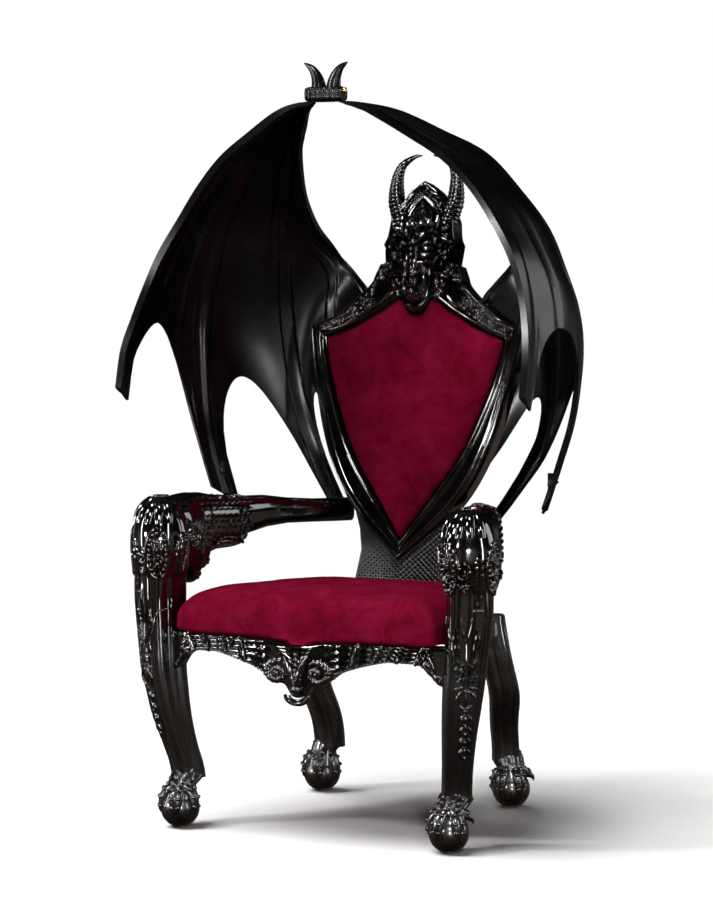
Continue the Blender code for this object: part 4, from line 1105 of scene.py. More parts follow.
    def build(self, finishes: Finishes) -> None:
        """Builds both arms."""
        carving = Carving()
        carving.loft(self.fist_rings())
        carving.loft(self.rail_rings())
        carving.settle()
        self.knuckles(carving)
        self.medallions(carving)
        self.flanks(carving)
        make_pair(carving, "carved_arm", "arm", finishes.carved)


@dataclass
class Shield:
    """The reclined shield back: its outlines, moulding, crest, dragon head, horns and pad."""

    recline: float = math.radians(9.6)
    foot_y: float = 0.174
    foot_z: float = 0.560
    tip_rise: float = 0.050
    half_width: float = 0.287
    height: float = 0.577
    crest_height: float = 0.364
    thickness: float = 0.055
    bead_width: float = 0.0052
    bead_rise: float = 0.0055
    pad_tip_rise: float = 0.0963
    pad_half_width: float = 0.246
    pad_height: float = 0.503
    pad_peak: float = 0.100
    pocket_depth: float = 0.014
    side_points: int = 80
    side_line: tuple[Point, ...] = ((0, 0), (0.125, 0.056), (0.362, 0.162), (0.564, 0.286), (0.704, 0.415),
                                    (0.801, 0.543), (0.871, 0.673), (0.951, 0.847), (1, 1))
    crest_lines: tuple[tuple[Point, ...], ...] = (
        ((1, 0), (0.780, 0.064), (0.596, 0.175), (0.439, 0.292), (0.401, 0.357), (0.362, 0.426)),
        ((0.362, 0.426), (0.286, 0.437), (0.258, 0.490), (0.279, 0.546), (0.341, 0.571)),
        ((0.341, 0.571), (0.310, 0.625), (0.293, 0.730)),
        ((0.293, 0.730), (0.250, 0.799), (0.185, 0.858), (0.122, 0.930), (0, 1)))
    pad_line: tuple[Point, ...] = ((0, 0), (0.098, 0.065), (0.285, 0.194), (0.496, 0.339), (0.667, 0.484),
                                   (0.793, 0.633), (0.898, 0.780), (0.980, 0.929), (1, 1))
    pad_top: tuple[Point, ...] = ((1, 0), (0.72, 0.273), (0.419, 0.667), (0.215, 1))
    pad_notch: tuple[Point, ...] = ((0.215, 1), (0.150, 1), (0.122, 0.848), (0.073, 0.677), (0, 0.626))
    horn_line: tuple[Point, ...] = ((0.058, 0.700), (0.070, 0.795), (0.079, 0.860), (0.0815, 0.945),
                                    (0.079, 1.035), (0.069, 1.105), (0.052, 1.145), (0.032, 1.172),
                                    (0.014, 1.178))
    skull: tuple[tuple[float, float, Point], ...] = (
        (0.868, 0.000, (0.044, 0.050, 0.030)), (0.812, 0.006, (0.040, 0.044, 0.034)),
        (0.762, 0.012, (0.024, 0.044, 0.036)), (0.712, 0.010, (0.024, 0.030, 0.030)),
        (0.829, 0.046, (0.0115, 0.0105, 0.0095)), (0.708, 0.038, (0.0130, 0.0110, 0.0095)))
    ear_points: tuple[tuple[tuple[Point, Point], float, float], ...] = (
        (((0.066, 0.846, 0.002), (0.0975, 0.8345, -0.004)), 0.0140, 0.004),
        (((0.058, 0.866, 0.004), (0.083, 0.874, 0.004)), 0.0100, 0.006))

    def point(self, u: Array | float, rise: Array | float, forward: Array | float = 0.0) -> Array:
        """A point by its place on the reclined front plane and its distance in front of it."""
        rise, forward = np.asarray(rise, float), np.asarray(forward, float)
        return np.stack(np.broadcast_arrays(
            np.asarray(u, float),
            self.foot_y + SHIFT_Y + math.sin(self.recline) * rise - math.cos(self.recline) * forward,
            self.foot_z + math.cos(self.recline) * rise + math.sin(self.recline) * forward), axis=-1)

    @property
    def sight(self) -> Sight:
        """The look square to the front plane."""
        return Sight((0.0, self.foot_y + SHIFT_Y, self.foot_z), (1.0, 0.0, 0.0),
                     (0.0, math.sin(self.recline), math.cos(self.recline)))

    @property
    def forward(self) -> Array:
        """The direction out of the front plane."""
        return np.array((0, -math.cos(self.recline), math.sin(self.recline)))

    def outlines(self) -> tuple[Array, Array]:
        """The shield's outline and the pocket's, point for point, anticlockwise from the tip."""
        outer_side = smooth_course(self.side_line, self.side_points)
        outer_side = outer_side * (self.half_width, self.height) + (0, self.tip_rise)
        inner_side = smooth_course(self.pad_line, self.side_points)
        inner_side = inner_side * (self.pad_half_width, self.pad_height) + (0, self.pad_tip_rise)
        counts = (44, 26, 14, 34)
        parts = [smooth_course(line, count)[1:] for line, count in zip(self.crest_lines, counts)]
        crest = np.vstack(parts) * (self.half_width, self.crest_height) + (0, self.tip_rise + self.height)
        top = np.vstack([smooth_course(self.pad_top, 60), smooth_course(self.pad_notch, 50)[1:]])
        top = top * (self.pad_half_width, self.pad_peak) + (0, self.pad_tip_rise + self.pad_height)
        along_top, along_crest = arc_lengths(top), arc_lengths(np.vstack([outer_side[-1], crest]))
        places = along_crest[1:] / along_crest[-1] * along_top[-1]
        inner_top = np.stack([np.interp(places, along_top, top[:, k]) for k in range(2)], axis=1)
        halves = [np.vstack(pair) for pair in ((outer_side, crest), (inner_side, inner_top))]
        return tuple(np.vstack([half, (half * (-1, 1))[1:-1][::-1]]) for half in halves)

    def slab(self, carving: Carving) -> None:
        """Adds the body: flat back, rounded edge, two beads with a hollow between, and the pocket."""
        outer, inner = self.outlines()
        width = np.linalg.norm(inner - outer, axis=1)
        near = np.array((0, 0.0008, 0.002, 0.0036, 0.0052, 0.0068, 0.0084, 0.0100, 0.0120, 0.0145, 0.0175))
        rings = [self.point(inner[:, 0], inner[:, 1], -self.thickness),
                 self.point(outer[:, 0], outer[:, 1], -self.thickness),
                 self.point(outer[:, 0], outer[:, 1], -self.thickness / 2)]
        middles = np.linspace(0, 1, 9)[1:-1]

        def height(distance: Array) -> Array:
            """Rise of the moulding at a distance from the nearer edge."""
            rounded = 1 - ((distance - self.bead_width) / self.bead_width) ** 2
            bead = self.bead_rise * np.sqrt(np.clip(rounded, 0, 1))
            hollow = 0.0035 * np.exp(-((distance - 2.6 * self.bead_width) / 0.0032) ** 2)
            return np.where(distance < 2 * self.bead_width, bead - 0.002, -0.002) - hollow

        for step in near:
            share = np.minimum(step / width, 0.45)[:, None]
            ring = outer + (inner - outer) * share
            rings.append(self.point(ring[:, 0], ring[:, 1], height(share[:, 0] * width)))
        for middle in middles:
            start = np.minimum(near[-1] / width, 0.45)
            share = (start + (1 - 2 * start) * middle)[:, None]
            ring = outer + (inner - outer) * share
            nearest = np.minimum(share[:, 0], 1 - share[:, 0]) * width
            rings.append(self.point(ring[:, 0], ring[:, 1], height(nearest)))
        for step in near[::-1]:
            share = np.minimum(step / width, 0.45)[:, None]
            ring = inner + (outer - inner) * share
            rings.append(self.point(ring[:, 0], ring[:, 1], height(share[:, 0] * width)))
        rings.append(self.point(inner[:, 0], inner[:, 1], -self.pocket_depth))
        carving.loft(np.array(rings))

    def shoulders(self, carving: Carving) -> None:
        """Carves the rosettes, scrolls and leaves that climb from each shoulder to the head."""
        sight = self.sight
        outer, inner = self.outlines()
        corner = self.side_points - 1

        def between(step: int, blend: float) -> Array:
            """u and v between the outline and the pocket, some points above the corner."""
            return outer[corner + step] * (1 - blend) + inner[corner + step] * blend

        for hand in (-1, 1):
            flip = np.array((hand, 1))
            for step, blend, radius in ((7, 0.5, 0.0090), (15, 0.5, 0.0115), (24, 0.5, 0.0140),
                                        (33, 0.47, 0.0160)):
                spot = between(step, blend) * flip
                carving.rosette(sight, spot, radius, 6)
                carving.ring(sight, spot, (0.55 * radius, 0.55 * radius), 0.12 * radius, 14)
            for start, stop, blend, thick in ((3, 44, 0.25, 0.0026), (3, 46, 0.77, 0.0026)):
                drawn = [between(k, blend) * flip for k in range(start, stop, 5)]
                carving.beads(sight, drawn, thick, 46, 1.3, 1.2)
            for step in (3, 11, 20, 29, 38):
                for low, high in ((0.62, 0.36), (0.38, 0.64)):
                    root, tip = between(step - 2, low) * flip, between(step + 3, high) * flip
                    carving.leaf(sight, (root, (root + tip) / 2 + (0, 0.002), tip), 0.0046, 0.0058, 2, 10)
            for u, v, size, start in ((0.084, 0.772, 0.0160, 200), (0.062, 0.806, 0.0125, 250),
                                      (0.060, 0.735, 0.0140, 120), (0.106, 0.748, 0.0100, 60)):
                turned = start if hand > 0 else 180 - start
                carving.scroll(sight, (u * hand, v), size, 1.6, turned, hand, 0.0048)
            upper = mirrored(hand, (0.050, 0.756), (0.066, 0.758), (0.080, 0.750))
            carving.leaf(sight, upper, 0.0090, 0.0080, 4)
            lower = mirrored(hand, (0.042, 0.715), (0.060, 0.706), (0.082, 0.712))
            carving.leaf(sight, lower, 0.0080, 0.0070, 4)

    def crest_leaf(self, carving: Carving) -> None:
        """Carves the pointed hood above the head: thick rim, beads inside it, a second arch and a pearl."""
        sight = self.sight
        for hand in (-1, 1):
            rim = mirrored(hand, (0.078, 0.880), (0.066, 0.909), (0.048, 0.931), (0.031, 0.957),
                           (0.001, 0.983))
            carving.stroke(sight, rim, 0.0058, (0.8, 0.8), 26, 0.5)
            pearls = mirrored(hand, (0.064, 0.894), (0.050, 0.915), (0.034, 0.938), (0.004, 0.966))
            carving.beads(sight, pearls, 0.0040, 14, 1.1)
            arch = mirrored(hand, (0.056, 0.870), (0.046, 0.898), (0.028, 0.924), (0.001, 0.950))
            carving.stroke(sight, arch, 0.0060, (0.8, 0.8), 20, 0.5)
            leaf = mirrored(hand, (0.044, 0.862), (0.038, 0.886), (0.016, 0.918))
            carving.leaf(sight, leaf, 0.0090, 0.0080, 4)
        carving.beads(sight, ((0, 0.966), (0, 0.9659)), 0.0062, 1, 1.2)
        carving.leaf(sight, ((0, 0.905), (0, 0.922), (0, 0.942)), 0.0100, 0.0070, 3)

    def lump(self, carving: Carving, u: float, rise: float, forward: float,
             half: tuple[float, float, float], tilt: float = 0.0) -> None:
        """Adds a rounded mass by its middle, its half sizes and its lean in degrees."""
        angle = math.radians(tilt)
        right, up = np.array((1.0, 0, 0)), np.array(self.sight.up)
        wide = right * math.cos(angle) + up * math.sin(angle)
        tall = up * math.cos(angle) - right * math.sin(angle)
        basis = np.stack([wide * half[0], tall * half[1], self.forward * half[2]])
        points, faces = ball_mesh(18, 12)
        carving.add(self.point(u, rise, forward) + points @ basis, faces)

    def ridge(self, carving: Carving, places: Sequence[Point], radii: Sequence[float],
              count: int = 18) -> None:
        """Adds a rounded ridge through places given by u, rise and distance in front of the plane."""
        course = smooth_course([self.point(*place) for place in places], count)
        swell = np.interp(np.linspace(0, 1, count), np.linspace(0, 1, len(radii)), radii)
        carving.rod(course, swell, None, 12)

    def head(self, carving: Carving) -> None:
        """Carves the dragon: forehead, brow, eyes, cheeks, snout, and the chin that hangs over the pad."""
        for rise, forward, half in self.skull:
            self.lump(carving, 0, rise, forward, half)
        for hand in (-1, 1):
            for start, out in ((0.0085, 0.011), (0.0215, 0.027), (0.0345, 0.045)):
                mane = mirrored(hand, (start, 0.846, 0.043 - 0.5 * start), (out, 0.872, 0.034 - 0.4 * start),
                                (out * 1.05, 0.900, 0.020 - 0.3 * start), (out * 0.72, 0.926, 0.004))
                self.ridge(carving, mane, (0.0060, 0.0078, 0.0066, 0.0030))
            brow = mirrored(hand, (0.006, 0.836, 0.050), (0.022, 0.846, 0.044), (0.044, 0.853, 0.028),
                            (0.070, 0.848, 0.006))
            self.ridge(carving, brow, (0.0068, 0.0085, 0.0080, 0.0050), 22)
            for step in range(6):
                self.lump(carving, (0.014 + 0.0105 * step) * hand, 0.8470 + 0.0022 * min(step, 3),
                          0.053 - 0.0085 * step, (0.0046, 0.0044, 0.0044))
            self.lump(carving, 0.030 * hand, 0.8290, 0.030, (0.0125, 0.0075, 0.0095), 14 * hand)
            self.lump(carving, 0.030 * hand, 0.8285, 0.0385, (0.0056, 0.0046, 0.0040))
            for step, (rise, reach) in enumerate(((0.822, 0.062), (0.806, 0.060), (0.789, 0.053))):
                cheek = mirrored(hand, (0.012, rise - 0.012, 0.042), (0.5 * reach, rise - 0.008, 0.034),
                                 (0.85 * reach, rise + 0.002, 0.018), (reach, rise + 0.016, 0.004))
                self.ridge(carving, cheek, (0.0050, 0.0074 - 0.0006 * step, 0.0066, 0.0034), 20)
                self.lump(carving, 0.62 * reach * hand, rise - 0.004, 0.0345, (0.0048, 0.0044, 0.0042))
            for (root, tip), radius, bend in self.ear_points:
                root, tip = (self.point(*place) for place in mirrored(hand, root, tip))
                carving.spike(root, tip, radius, self.forward * bend)
            snout = mirrored(hand, (0.0075, 0.816, 0.048), (0.0105, 0.786, 0.052), (0.0125, 0.752, 0.048),
                             (0.0090, 0.722, 0.038))
            self.ridge(carving, snout, (0.0058, 0.0066, 0.0064, 0.0050), 22)
            self.lump(carving, 0.0100 * hand, 0.748, 0.055, (0.0070, 0.0085, 0.0060), -25 * hand)
            jowl = mirrored(hand, (0.020, 0.776, 0.036), (0.027, 0.748, 0.028), (0.027, 0.720, 0.020),
                            (0.018, 0.696, 0.014))
            self.ridge(carving, jowl, (0.0058, 0.0074, 0.0070, 0.0050), 20)
            for step in range(4):
                self.lump(carving, 0.0275 * hand, 0.762 - 0.015 * step, 0.034 - 0.004 * step,
                          (0.0046, 0.0050, 0.0044))
            carving.spike(self.point(0.016 * hand, 0.744, 0.046), self.point(0.0155 * hand, 0.720, 0.048),
                          0.0046, self.forward * 0.002, 8, 8)
        chin = ((-0.033, 0.742, 0.004), (-0.030, 0.700, 0.008), (-0.018, 0.678, 0.010), (0, 0.671, 0.010),
                (0.018, 0.678, 0.010), (0.030, 0.700, 0.008), (0.033, 0.742, 0.004))
        self.ridge(carving, chin, (0.0050, 0.0058, 0.0062, 0.0062, 0.0062, 0.0058, 0.0050), 44)
        for row in range(6):
            self.lump(carving, 0, 0.812 - 0.0155 * row, 0.0520 - 0.0006 * row ** 2, (0.0066, 0.0058, 0.0058))

    def horns(self, carving: Carving) -> None:
        """Adds the horns with their swollen rings, bowed out and curled in to fine points."""
        course2d = smooth_course(self.horn_line, 190)
        t = np.linspace(0, 1, len(course2d))
        rise = self.tip_rise + self.height + course2d[:, 1] * self.crest_height
        rings = 19
        wave = np.abs(np.sin(math.pi * rings * t)) ** 0.6
        fade = np.clip((0.93 - t) / 0.12, 0, 1)
        radii = 0.0282 * (1 - t) ** 0.60 * (1 - 0.15 * fade * (1 - wave)) + 0.0006
        for hand in (-1, 1):
            course = self.point(course2d[:, 0] * hand, rise, -0.020 + 0.012 * t)
            carving.rod(course, radii, None, 26)

    def build(self, finishes: Finishes) -> None:
        """Builds the carved back and its velvet pad."""
        carving = Carving()
        self.slab(carving)
        carving.settle()
        self.shoulders(carving)
        self.crest_leaf(carving)
        self.horns(carving)
        self.head(carving)
        stand_for(carving.object("carved_shield_back", finishes.carved), "back_frame")
        self.pad(finishes)

    def pad(self, finishes: Finishes) -> None:
        """Builds the crowned velvet pad: tucked at its edge, with soft pulls across it."""
        _, inner = self.outlines()
        centre = np.array((0, self.pad_tip_rise + 0.62 * self.pad_height))
        steps = np.concatenate([[0.004, 0.006, 0.010, 0.016, 0.024, 0.034], np.linspace(0.05, 0.985, 44)])
        rings = [self.point(inner[:, 0] * 0.99, inner[:, 1], -self.pocket_depth + 0.001)]
        for step in steps:
            ring = inner + (centre - inner) * step
            inset = np.linalg.norm(ring - inner, axis=1)
            crown = 0.0125 * (1 - (1 - step) ** 3)
            tuck = 0.0095 * np.exp(-inset / 0.0055)
            pull = np.array([noise.noise((u * 9, v * 7, 3.1)) for u, v in ring])
            fine = np.array([noise.noise((u * 24, v * 16, 7.7)) for u, v in ring])
            ripple = (pull * 0.0022 + fine * 0.0007) * min(1, step / 0.15)
            rings.append(self.point(ring[:, 0], ring[:, 1], crown - tuck + ripple))
        carving = Carving()
        carving.loft(np.array(rings))
        item = stand_for(carving.object("velvet_back_pad", finishes.velvet, crease=80), "back_pad")
        settle_cover(item, 0.0075, 0.004, 0.0)


@dataclass
class Splat:
    """The splat between the seat and the shield, carved all over with small scales."""

    shield: Shield
    seat_line: float = 0.4723
    setback: float = 0.012
    thickness: float = 0.026
    widths: tuple[tuple[float, float], ...] = (
        (0, 0.124), (0.35, 0.116), (0.6, 0.106), (0.8, 0.114), (1, 0.132))
    scale_pitch: float = 0.0150
    scale_relief: float = 0.0044

    def build(self, finishes: Finishes) -> None:
        """Builds the scaled splat."""
        shield = self.shield
        side = smooth_course(shield.side_line, shield.side_points)
        side = side * (shield.half_width, shield.height) + (0, shield.tip_rise)
        columns, rows = 120, 104
        table = np.array(self.widths)
        foot = (self.seat_line - shield.foot_z) / math.cos(shield.recline)
        foot += math.tan(shield.recline) * (self.setback + self.thickness)
        share, row = np.meshgrid(np.linspace(-1, 1, columns), np.linspace(0, 1, rows))
        u = share * np.interp(row, table[:, 0], table[:, 1])
        top = np.interp(np.abs(share) * table[-1, 1], side[:, 0], side[:, 1]) - 0.001
        v = foot + (top - foot) * row
        relief = np.full(u.shape, -0.001)
        for layer in (0, 1):
            across = (u / self.scale_pitch + 0.5 * layer) % 1 - 0.5
            down = (v / (0.86 * self.scale_pitch) + 0.5 * layer) % 1 - 0.5
            reach = np.hypot(across, down * 0.9) / 0.56
            dome = self.scale_relief * np.sqrt(np.clip(1 - reach ** 2, 0, 1)) * (0.75 - 0.5 * down)
            relief = np.maximum(relief, dome)
        edge = np.clip((1 - np.abs(share)) / 0.03, 0, 1)
        front = shield.point(u, v, -self.setback + relief * edge)
        back = shield.point(u, v, -self.setback - self.thickness)
        for grid in (front, back):
            grid[0, :, 2] = self.seat_line
        carving = Carving()
        carving.sheet(front, back)
        stand_for(carving.object("scaled_splat", finishes.scaled), "back_splat")


@dataclass
class Apron:
    """The bowed front rail: feather bundles that spread from a horned head, and leafy end brackets."""

    half_length: float = 0.371
    top: float = 0.472
    front_y: float = -0.352
    bow: float = 0.052
    thickness: float = 0.034
    dip: float = 0.012
    edge: tuple[Point, ...] = (
        (0, 0.132), (0.05, 0.128), (0.085, 0.100), (0.17, 0.098), (0.22, 0.084), (0.263, 0.072),
        (0.335, 0.062), (0.44, 0.050), (0.58, 0.038), (0.78, 0.040), (0.86, 0.058), (0.91, 0.088), (1, 0.098))
    bracket_leaves: tuple[tuple[tuple[Point, ...], float, float, int], ...] = (
        (((0.292, 0.458), (0.312, 0.444), (0.330, 0.410)), 0.0120, 0.0065, 5),
        (((0.298, 0.440), (0.314, 0.424), (0.338, 0.386)), 0.0085, 0.0060, 4))

    def depth(self, share: Array) -> Array:
        """Depth of the lower edge below the rail's top, with its corners eased."""
        table = np.array(self.edge)
        steps = np.linspace(-0.02, 0.02, 7)
        return np.mean([np.interp(np.abs(share + step), table[:, 0], table[:, 1]) for step in steps], axis=0)

    def board(self, carving: Carving) -> None:
        """Adds the bowed board with a rounded lower edge and a dip below the cushion."""
        columns, rows = 300, 44
        share = np.linspace(-0.985, 0.985, columns)
        x = share * self.half_length
        y = self.front_y + SHIFT_Y + self.bow * share ** 2
        top = self.top - self.dip * np.exp(-(x / 0.055) ** 2)
        low = self.top - self.depth(share)
        row = np.linspace(0, 1, rows)[:, None]
        z = low + (top - low) * row
        forward = 0.004 * np.sqrt(np.clip(1 - (2 * row - 1) ** 6, 0, 1))
        lean = np.abs(x) - 0.014 * (row - 0.5)
        quills = np.abs(np.sin(math.pi * (4.1 * row + 7.0 * np.abs(x))))
        bundle = np.clip(np.abs(((lean - 0.092) / 0.052) % 1 - 0.5) * 2, 0, 1)
        spread = np.clip((np.abs(x) - 0.070) / 0.02, 0, 1) * np.clip((0.325 - np.abs(x)) / 0.02, 0, 1)
        inside = np.clip(row / 0.06, 0, 1) * np.clip((1 - row) / 0.04, 0, 1)
        forward = forward + (0.0060 * quills ** 0.8 * (1 - 0.7 * bundle ** 4) - 0.0020) * spread * inside
        x = np.broadcast_to(x, z.shape)
        front = np.stack([x, y - forward, z], axis=-1)
        back = np.stack([x, np.broadcast_to(y + self.thickness, z.shape), z], axis=-1)
        carving.sheet(front, back)

    def feathers(self, carving: Carving, sight: Sight) -> None:
        """Carves bundles of feathers that spread from the head, with beaded slanting bands between them."""
        bundles = ((0.088, 0.142), (0.150, 0.196), (0.204, 0.246), (0.254, 0.290))
        for hand in (-1, 1):
            for start, stop in bundles:
                low = self.top - float(self.depth(np.array(stop / self.half_length))) + 0.004
                band = ((stop - 0.004) * hand, low), ((stop + 0.012) * hand, self.top - 0.003)
                carving.stroke(sight, band, 0.0052, (1, 1), 8, 0.8)
                carving.beads(sight, band, 0.0050, 5, 1.5, 1.0)
                for row in range(4):
                    blend = (row + 0.5) / 4
                    low = self.top - float(self.depth(np.array(start / self.half_length))) + 0.006
                    u = start + 0.35 * (stop - start) + 0.012 * (blend - 0.5)
                    spot = u * hand, low + (self.top - 0.006 - low) * blend
                    carving.beads(sight, (spot, (spot[0] + 1e-4, spot[1])), 0.0044, 1, 2.4, 1.4)
            drawn = []
            for u in np.linspace(0.094, 0.31, 11):
                drawn.append((u * hand, self.top - float(self.depth(np.array(u / self.half_length))) + 0.003))
            carving.beads(sight, drawn, 0.0046, 24, 0.8, 0.8)

    def brackets(self, carving: Carving, sight: Sight) -> None:
        """Carves the acanthus brackets against the legs."""
        for hand in (-1, 1):
            for drawn, width, height, lobes in self.bracket_leaves:
                carving.leaf(sight, mirrored(hand, *drawn), width, height, lobes)
            carving.scroll(sight, (0.316 * hand, 0.452), 0.0120, 1.4, 90, hand, 0.0032)
            carving.scroll(sight, (0.337 * hand, 0.398), 0.0100, 1.3, 180, -hand, 0.0030)

    def head(self, carving: Carving) -> None:
        """Carves the ram-horned head: ribbed horns curled beside a narrow face, muzzle, and the lip below."""
        y = self.front_y + SHIFT_Y + 0.011

        def mass(x: float, z: float, out: float, half: tuple[float, float, float]) -> None:
            """Adds a rounded mass at x and z, some way out from the board."""
            points, faces = ball_mesh(16, 10)
            carving.add(np.array((x, y - out, z)) + points * half, faces)

        mass(0, 0.414, 0.004, (0.026, 0.018, 0.036))
        mass(0, 0.384, 0.012, (0.0165, 0.017, 0.026))
        mass(0, 0.362, 0.018, (0.0130, 0.013, 0.013))
        for hand in (-1, 1):
            centre = np.array((hand * 0.052, 0.0, 0.399))
            t = np.linspace(0, 1, 120)
            angle = np.radians(142 - 505 * t)
            reach = 0.0305 * (1 - 0.80 * t)
            course = np.stack([centre[0] + hand * 1.10 * reach * np.cos(angle), y - 0.004 - 0.019 * t,
                               centre[2] + 0.92 * reach * np.sin(angle)], axis=1)
            rib = 0.80 + 0.20 * np.abs(np.sin(math.pi * 21 * t)) ** 0.7
            carving.rod(course, 0.0128 * (1 - 0.55 * t) * rib, None, 16)
            mass(centre[0], centre[2], 0.020, (0.0075, 0.0065, 0.0075))
            bridge = mirrored(hand, (0.005, y - 0.027, 0.372), (0.010, y - 0.027, 0.396),
                              (0.018, y - 0.022, 0.420), (0.030, y - 0.014, 0.438))
            carving.rod(smooth_course(bridge, 24), np.linspace(0.0050, 0.0070, 24), None, 10)
            mass(hand * 0.0135, 0.396, 0.0225, (0.0055, 0.0050, 0.0042))
            mass(hand * 0.0075, 0.3600, 0.0285, (0.0046, 0.0035, 0.0042))
            for row in range(4):
                lock = mirrored(hand, (0.010 + 0.002 * row, y - 0.020 + 0.001 * row, 0.424 + 0.009 * row),
                                (0.030 + 0.003 * row, y - 0.014, 0.436 + 0.007 * row),
                                (0.064 + 0.006 * row, y - 0.005, 0.440 + 0.006 * row))
                carving.rod(smooth_course(lock, 18), np.linspace(0.0060, 0.0028, 18), None, 8)
            for step in range(5):
                mass(hand * (0.088 + 0.004 * step), 0.392 + 0.013 * step, 0.004, (0.0052, 0.0060, 0.0052))
        turn = np.radians(np.linspace(172, 368, 40))
        swell = 0.75 + 0.25 * np.sin(np.linspace(0, math.pi, 40))
        for size, thick in ((0.0295, 0.0056), (0.0180, 0.0042)):
            lip = [size * np.cos(turn), np.full(40, y - 0.016), 0.3455 + 0.60 * size * np.sin(turn)]
            carving.rod(np.stack(lip, axis=1), thick * swell, None, 12)
        for step in range(7):
            angle = math.radians(195 + 25 * step)
            mass(0.0285 * math.cos(angle), 0.3455 + 0.0170 * math.sin(angle), 0.0215,
                 (0.0036, 0.0030, 0.0036))
        for row in range(6):
            mass(0, 0.443 - 0.0125 * row, 0.0215 + 0.0008 * row, (0.0062, 0.0055, 0.0055))

    def build(self, finishes: Finishes) -> None:
        """Builds the carved apron."""
        carving = Carving()
        self.board(carving)
        carving.settle()
        sight = Sight.turned(0)
        self.feathers(carving, sight)
        self.brackets(carving, sight)
        self.head(carving)
        stand_for(carving.object("carved_apron", finishes.carved), "front_apron")


@dataclass
class SeatCushion:
    """The crowned velvet cushion, tight over foam, with a welt along its lower edge."""

    spread: float = 0.401
    leg_half: float = 0.056
    leg_line_y: float = -0.284
    front_y: float = -0.350
    bow: float = 0.024
    rear_y: float = 0.154
    rear_half: float = 0.214
    low: float = 0.4725
    height: float = 0.108
    dip: float = 0.012
    welt: float = 0.0036

    def outline(self) -> Array:
        """Rounded outline in plan, anticlockwise from the middle of the front."""
        front_half = self.spread - self.leg_half - 0.005
        leg_rear = self.leg_line_y + self.leg_half
        half = [(share * front_half, self.front_y + rise * self.bow) for share, rise in (
            (0.3, 0.09), (0.6, 0.36), (0.86, 0.74), (0.975, 1.05), (1, 1.5))]
        half = [(0, self.front_y), *half,
                (front_half, leg_rear - 0.01), (0.985 * front_half, leg_rear + 0.03),
                (0.5 * (front_half + self.rear_half) + 0.010, 0.5 * (leg_rear + self.rear_y)),
                (self.rear_half + 0.004, self.rear_y - 0.035), (self.rear_half - 0.016, self.rear_y - 0.006),
                (0.5 * self.rear_half, self.rear_y), (0, self.rear_y)]
        line = smooth_course(half, 150)
        return np.vstack([line, (line * (-1, 1))[1:-1][::-1]]) + (0, SHIFT_Y)

    def build(self, finishes: Finishes) -> None:
        """Builds the cushion and its welt."""
        outline = self.outline()
        centre = np.array((0, 0.35 * self.front_y + SHIFT_Y))
        angle = np.linspace(0.05, math.pi / 2, 40)
        walls = [(0.022, -0.002), (0.006, 0.0), (0.0, 0.05)]
        walls += [(0.24 * (1 - math.cos(a)) ** 1.05, 0.10 + 0.78 * math.sin(a) ** 0.92) for a in angle]
        crown = np.linspace(0.03, 1, 44)
        walls += [(0.24 + 0.75 * s, 0.88 + 0.12 * math.sin(math.pi / 2 * s)) for s in crown]
        ahead = unit(np.roll(outline, -1, axis=0) - np.roll(outline, 1, axis=0))
        outward = np.stack([ahead[:, 1], -ahead[:, 0]], axis=1)
        front = np.clip((-(outline[:, 1] - SHIFT_Y) - 0.30) / 0.05, 0, 1)
        sag = self.dip * np.exp(-(outline[:, 0] / 0.055) ** 2) * front
        rings = []
        for share, rise in walls:
            ring = outline + (centre - outline) * share
            pull = np.array([noise.noise((x * 7, y * 7, rise * 2)) for x, y in ring])
            fine = np.array([noise.noise((x * 26, y * 20, rise * 6 + 9)) for x, y in ring])
            ring = ring + outward * (0.0024 * math.sin(math.pi * min(rise / 0.8, 1)) * (1 - share))
            height = self.low + rise * self.height + (pull * 0.0030 + fine * 0.0009) * min(1, rise * 1.5)
            height = height - sag * max(0.0, 1 - rise / 0.45)
            rings.append(np.column_stack([ring, height]))
        carving = Carving()
        carving.loft(np.array(rings))
        course = np.column_stack([outline + outward * 0.0015, self.low + 0.0045 - sag])
        closed = np.vstack([course, course[:1]])
        carving.rod(closed, self.welt, None, 10)
        item = carving.object("velvet_seat_cushion", finishes.velvet, crease=80)
        stand_for(item, "seat_cushion")
        settle_cover(item, 0.0080, 0.006, 0.004)


def runs_across(points: Array) -> Array:
    """Distance along each row of a grid of points from the row's first one."""
    step = np.linalg.norm(np.diff(points, axis=1), axis=2)
    return np.concatenate([np.zeros((len(points), 1)), np.cumsum(step, axis=1)], axis=1)


def run_at(run: Array, places: Array, place: float) -> Array:
    """How far each row has run at one place across the grid, as a column."""
    return np.array([np.interp(place, places, row) for row in run])[:, None]


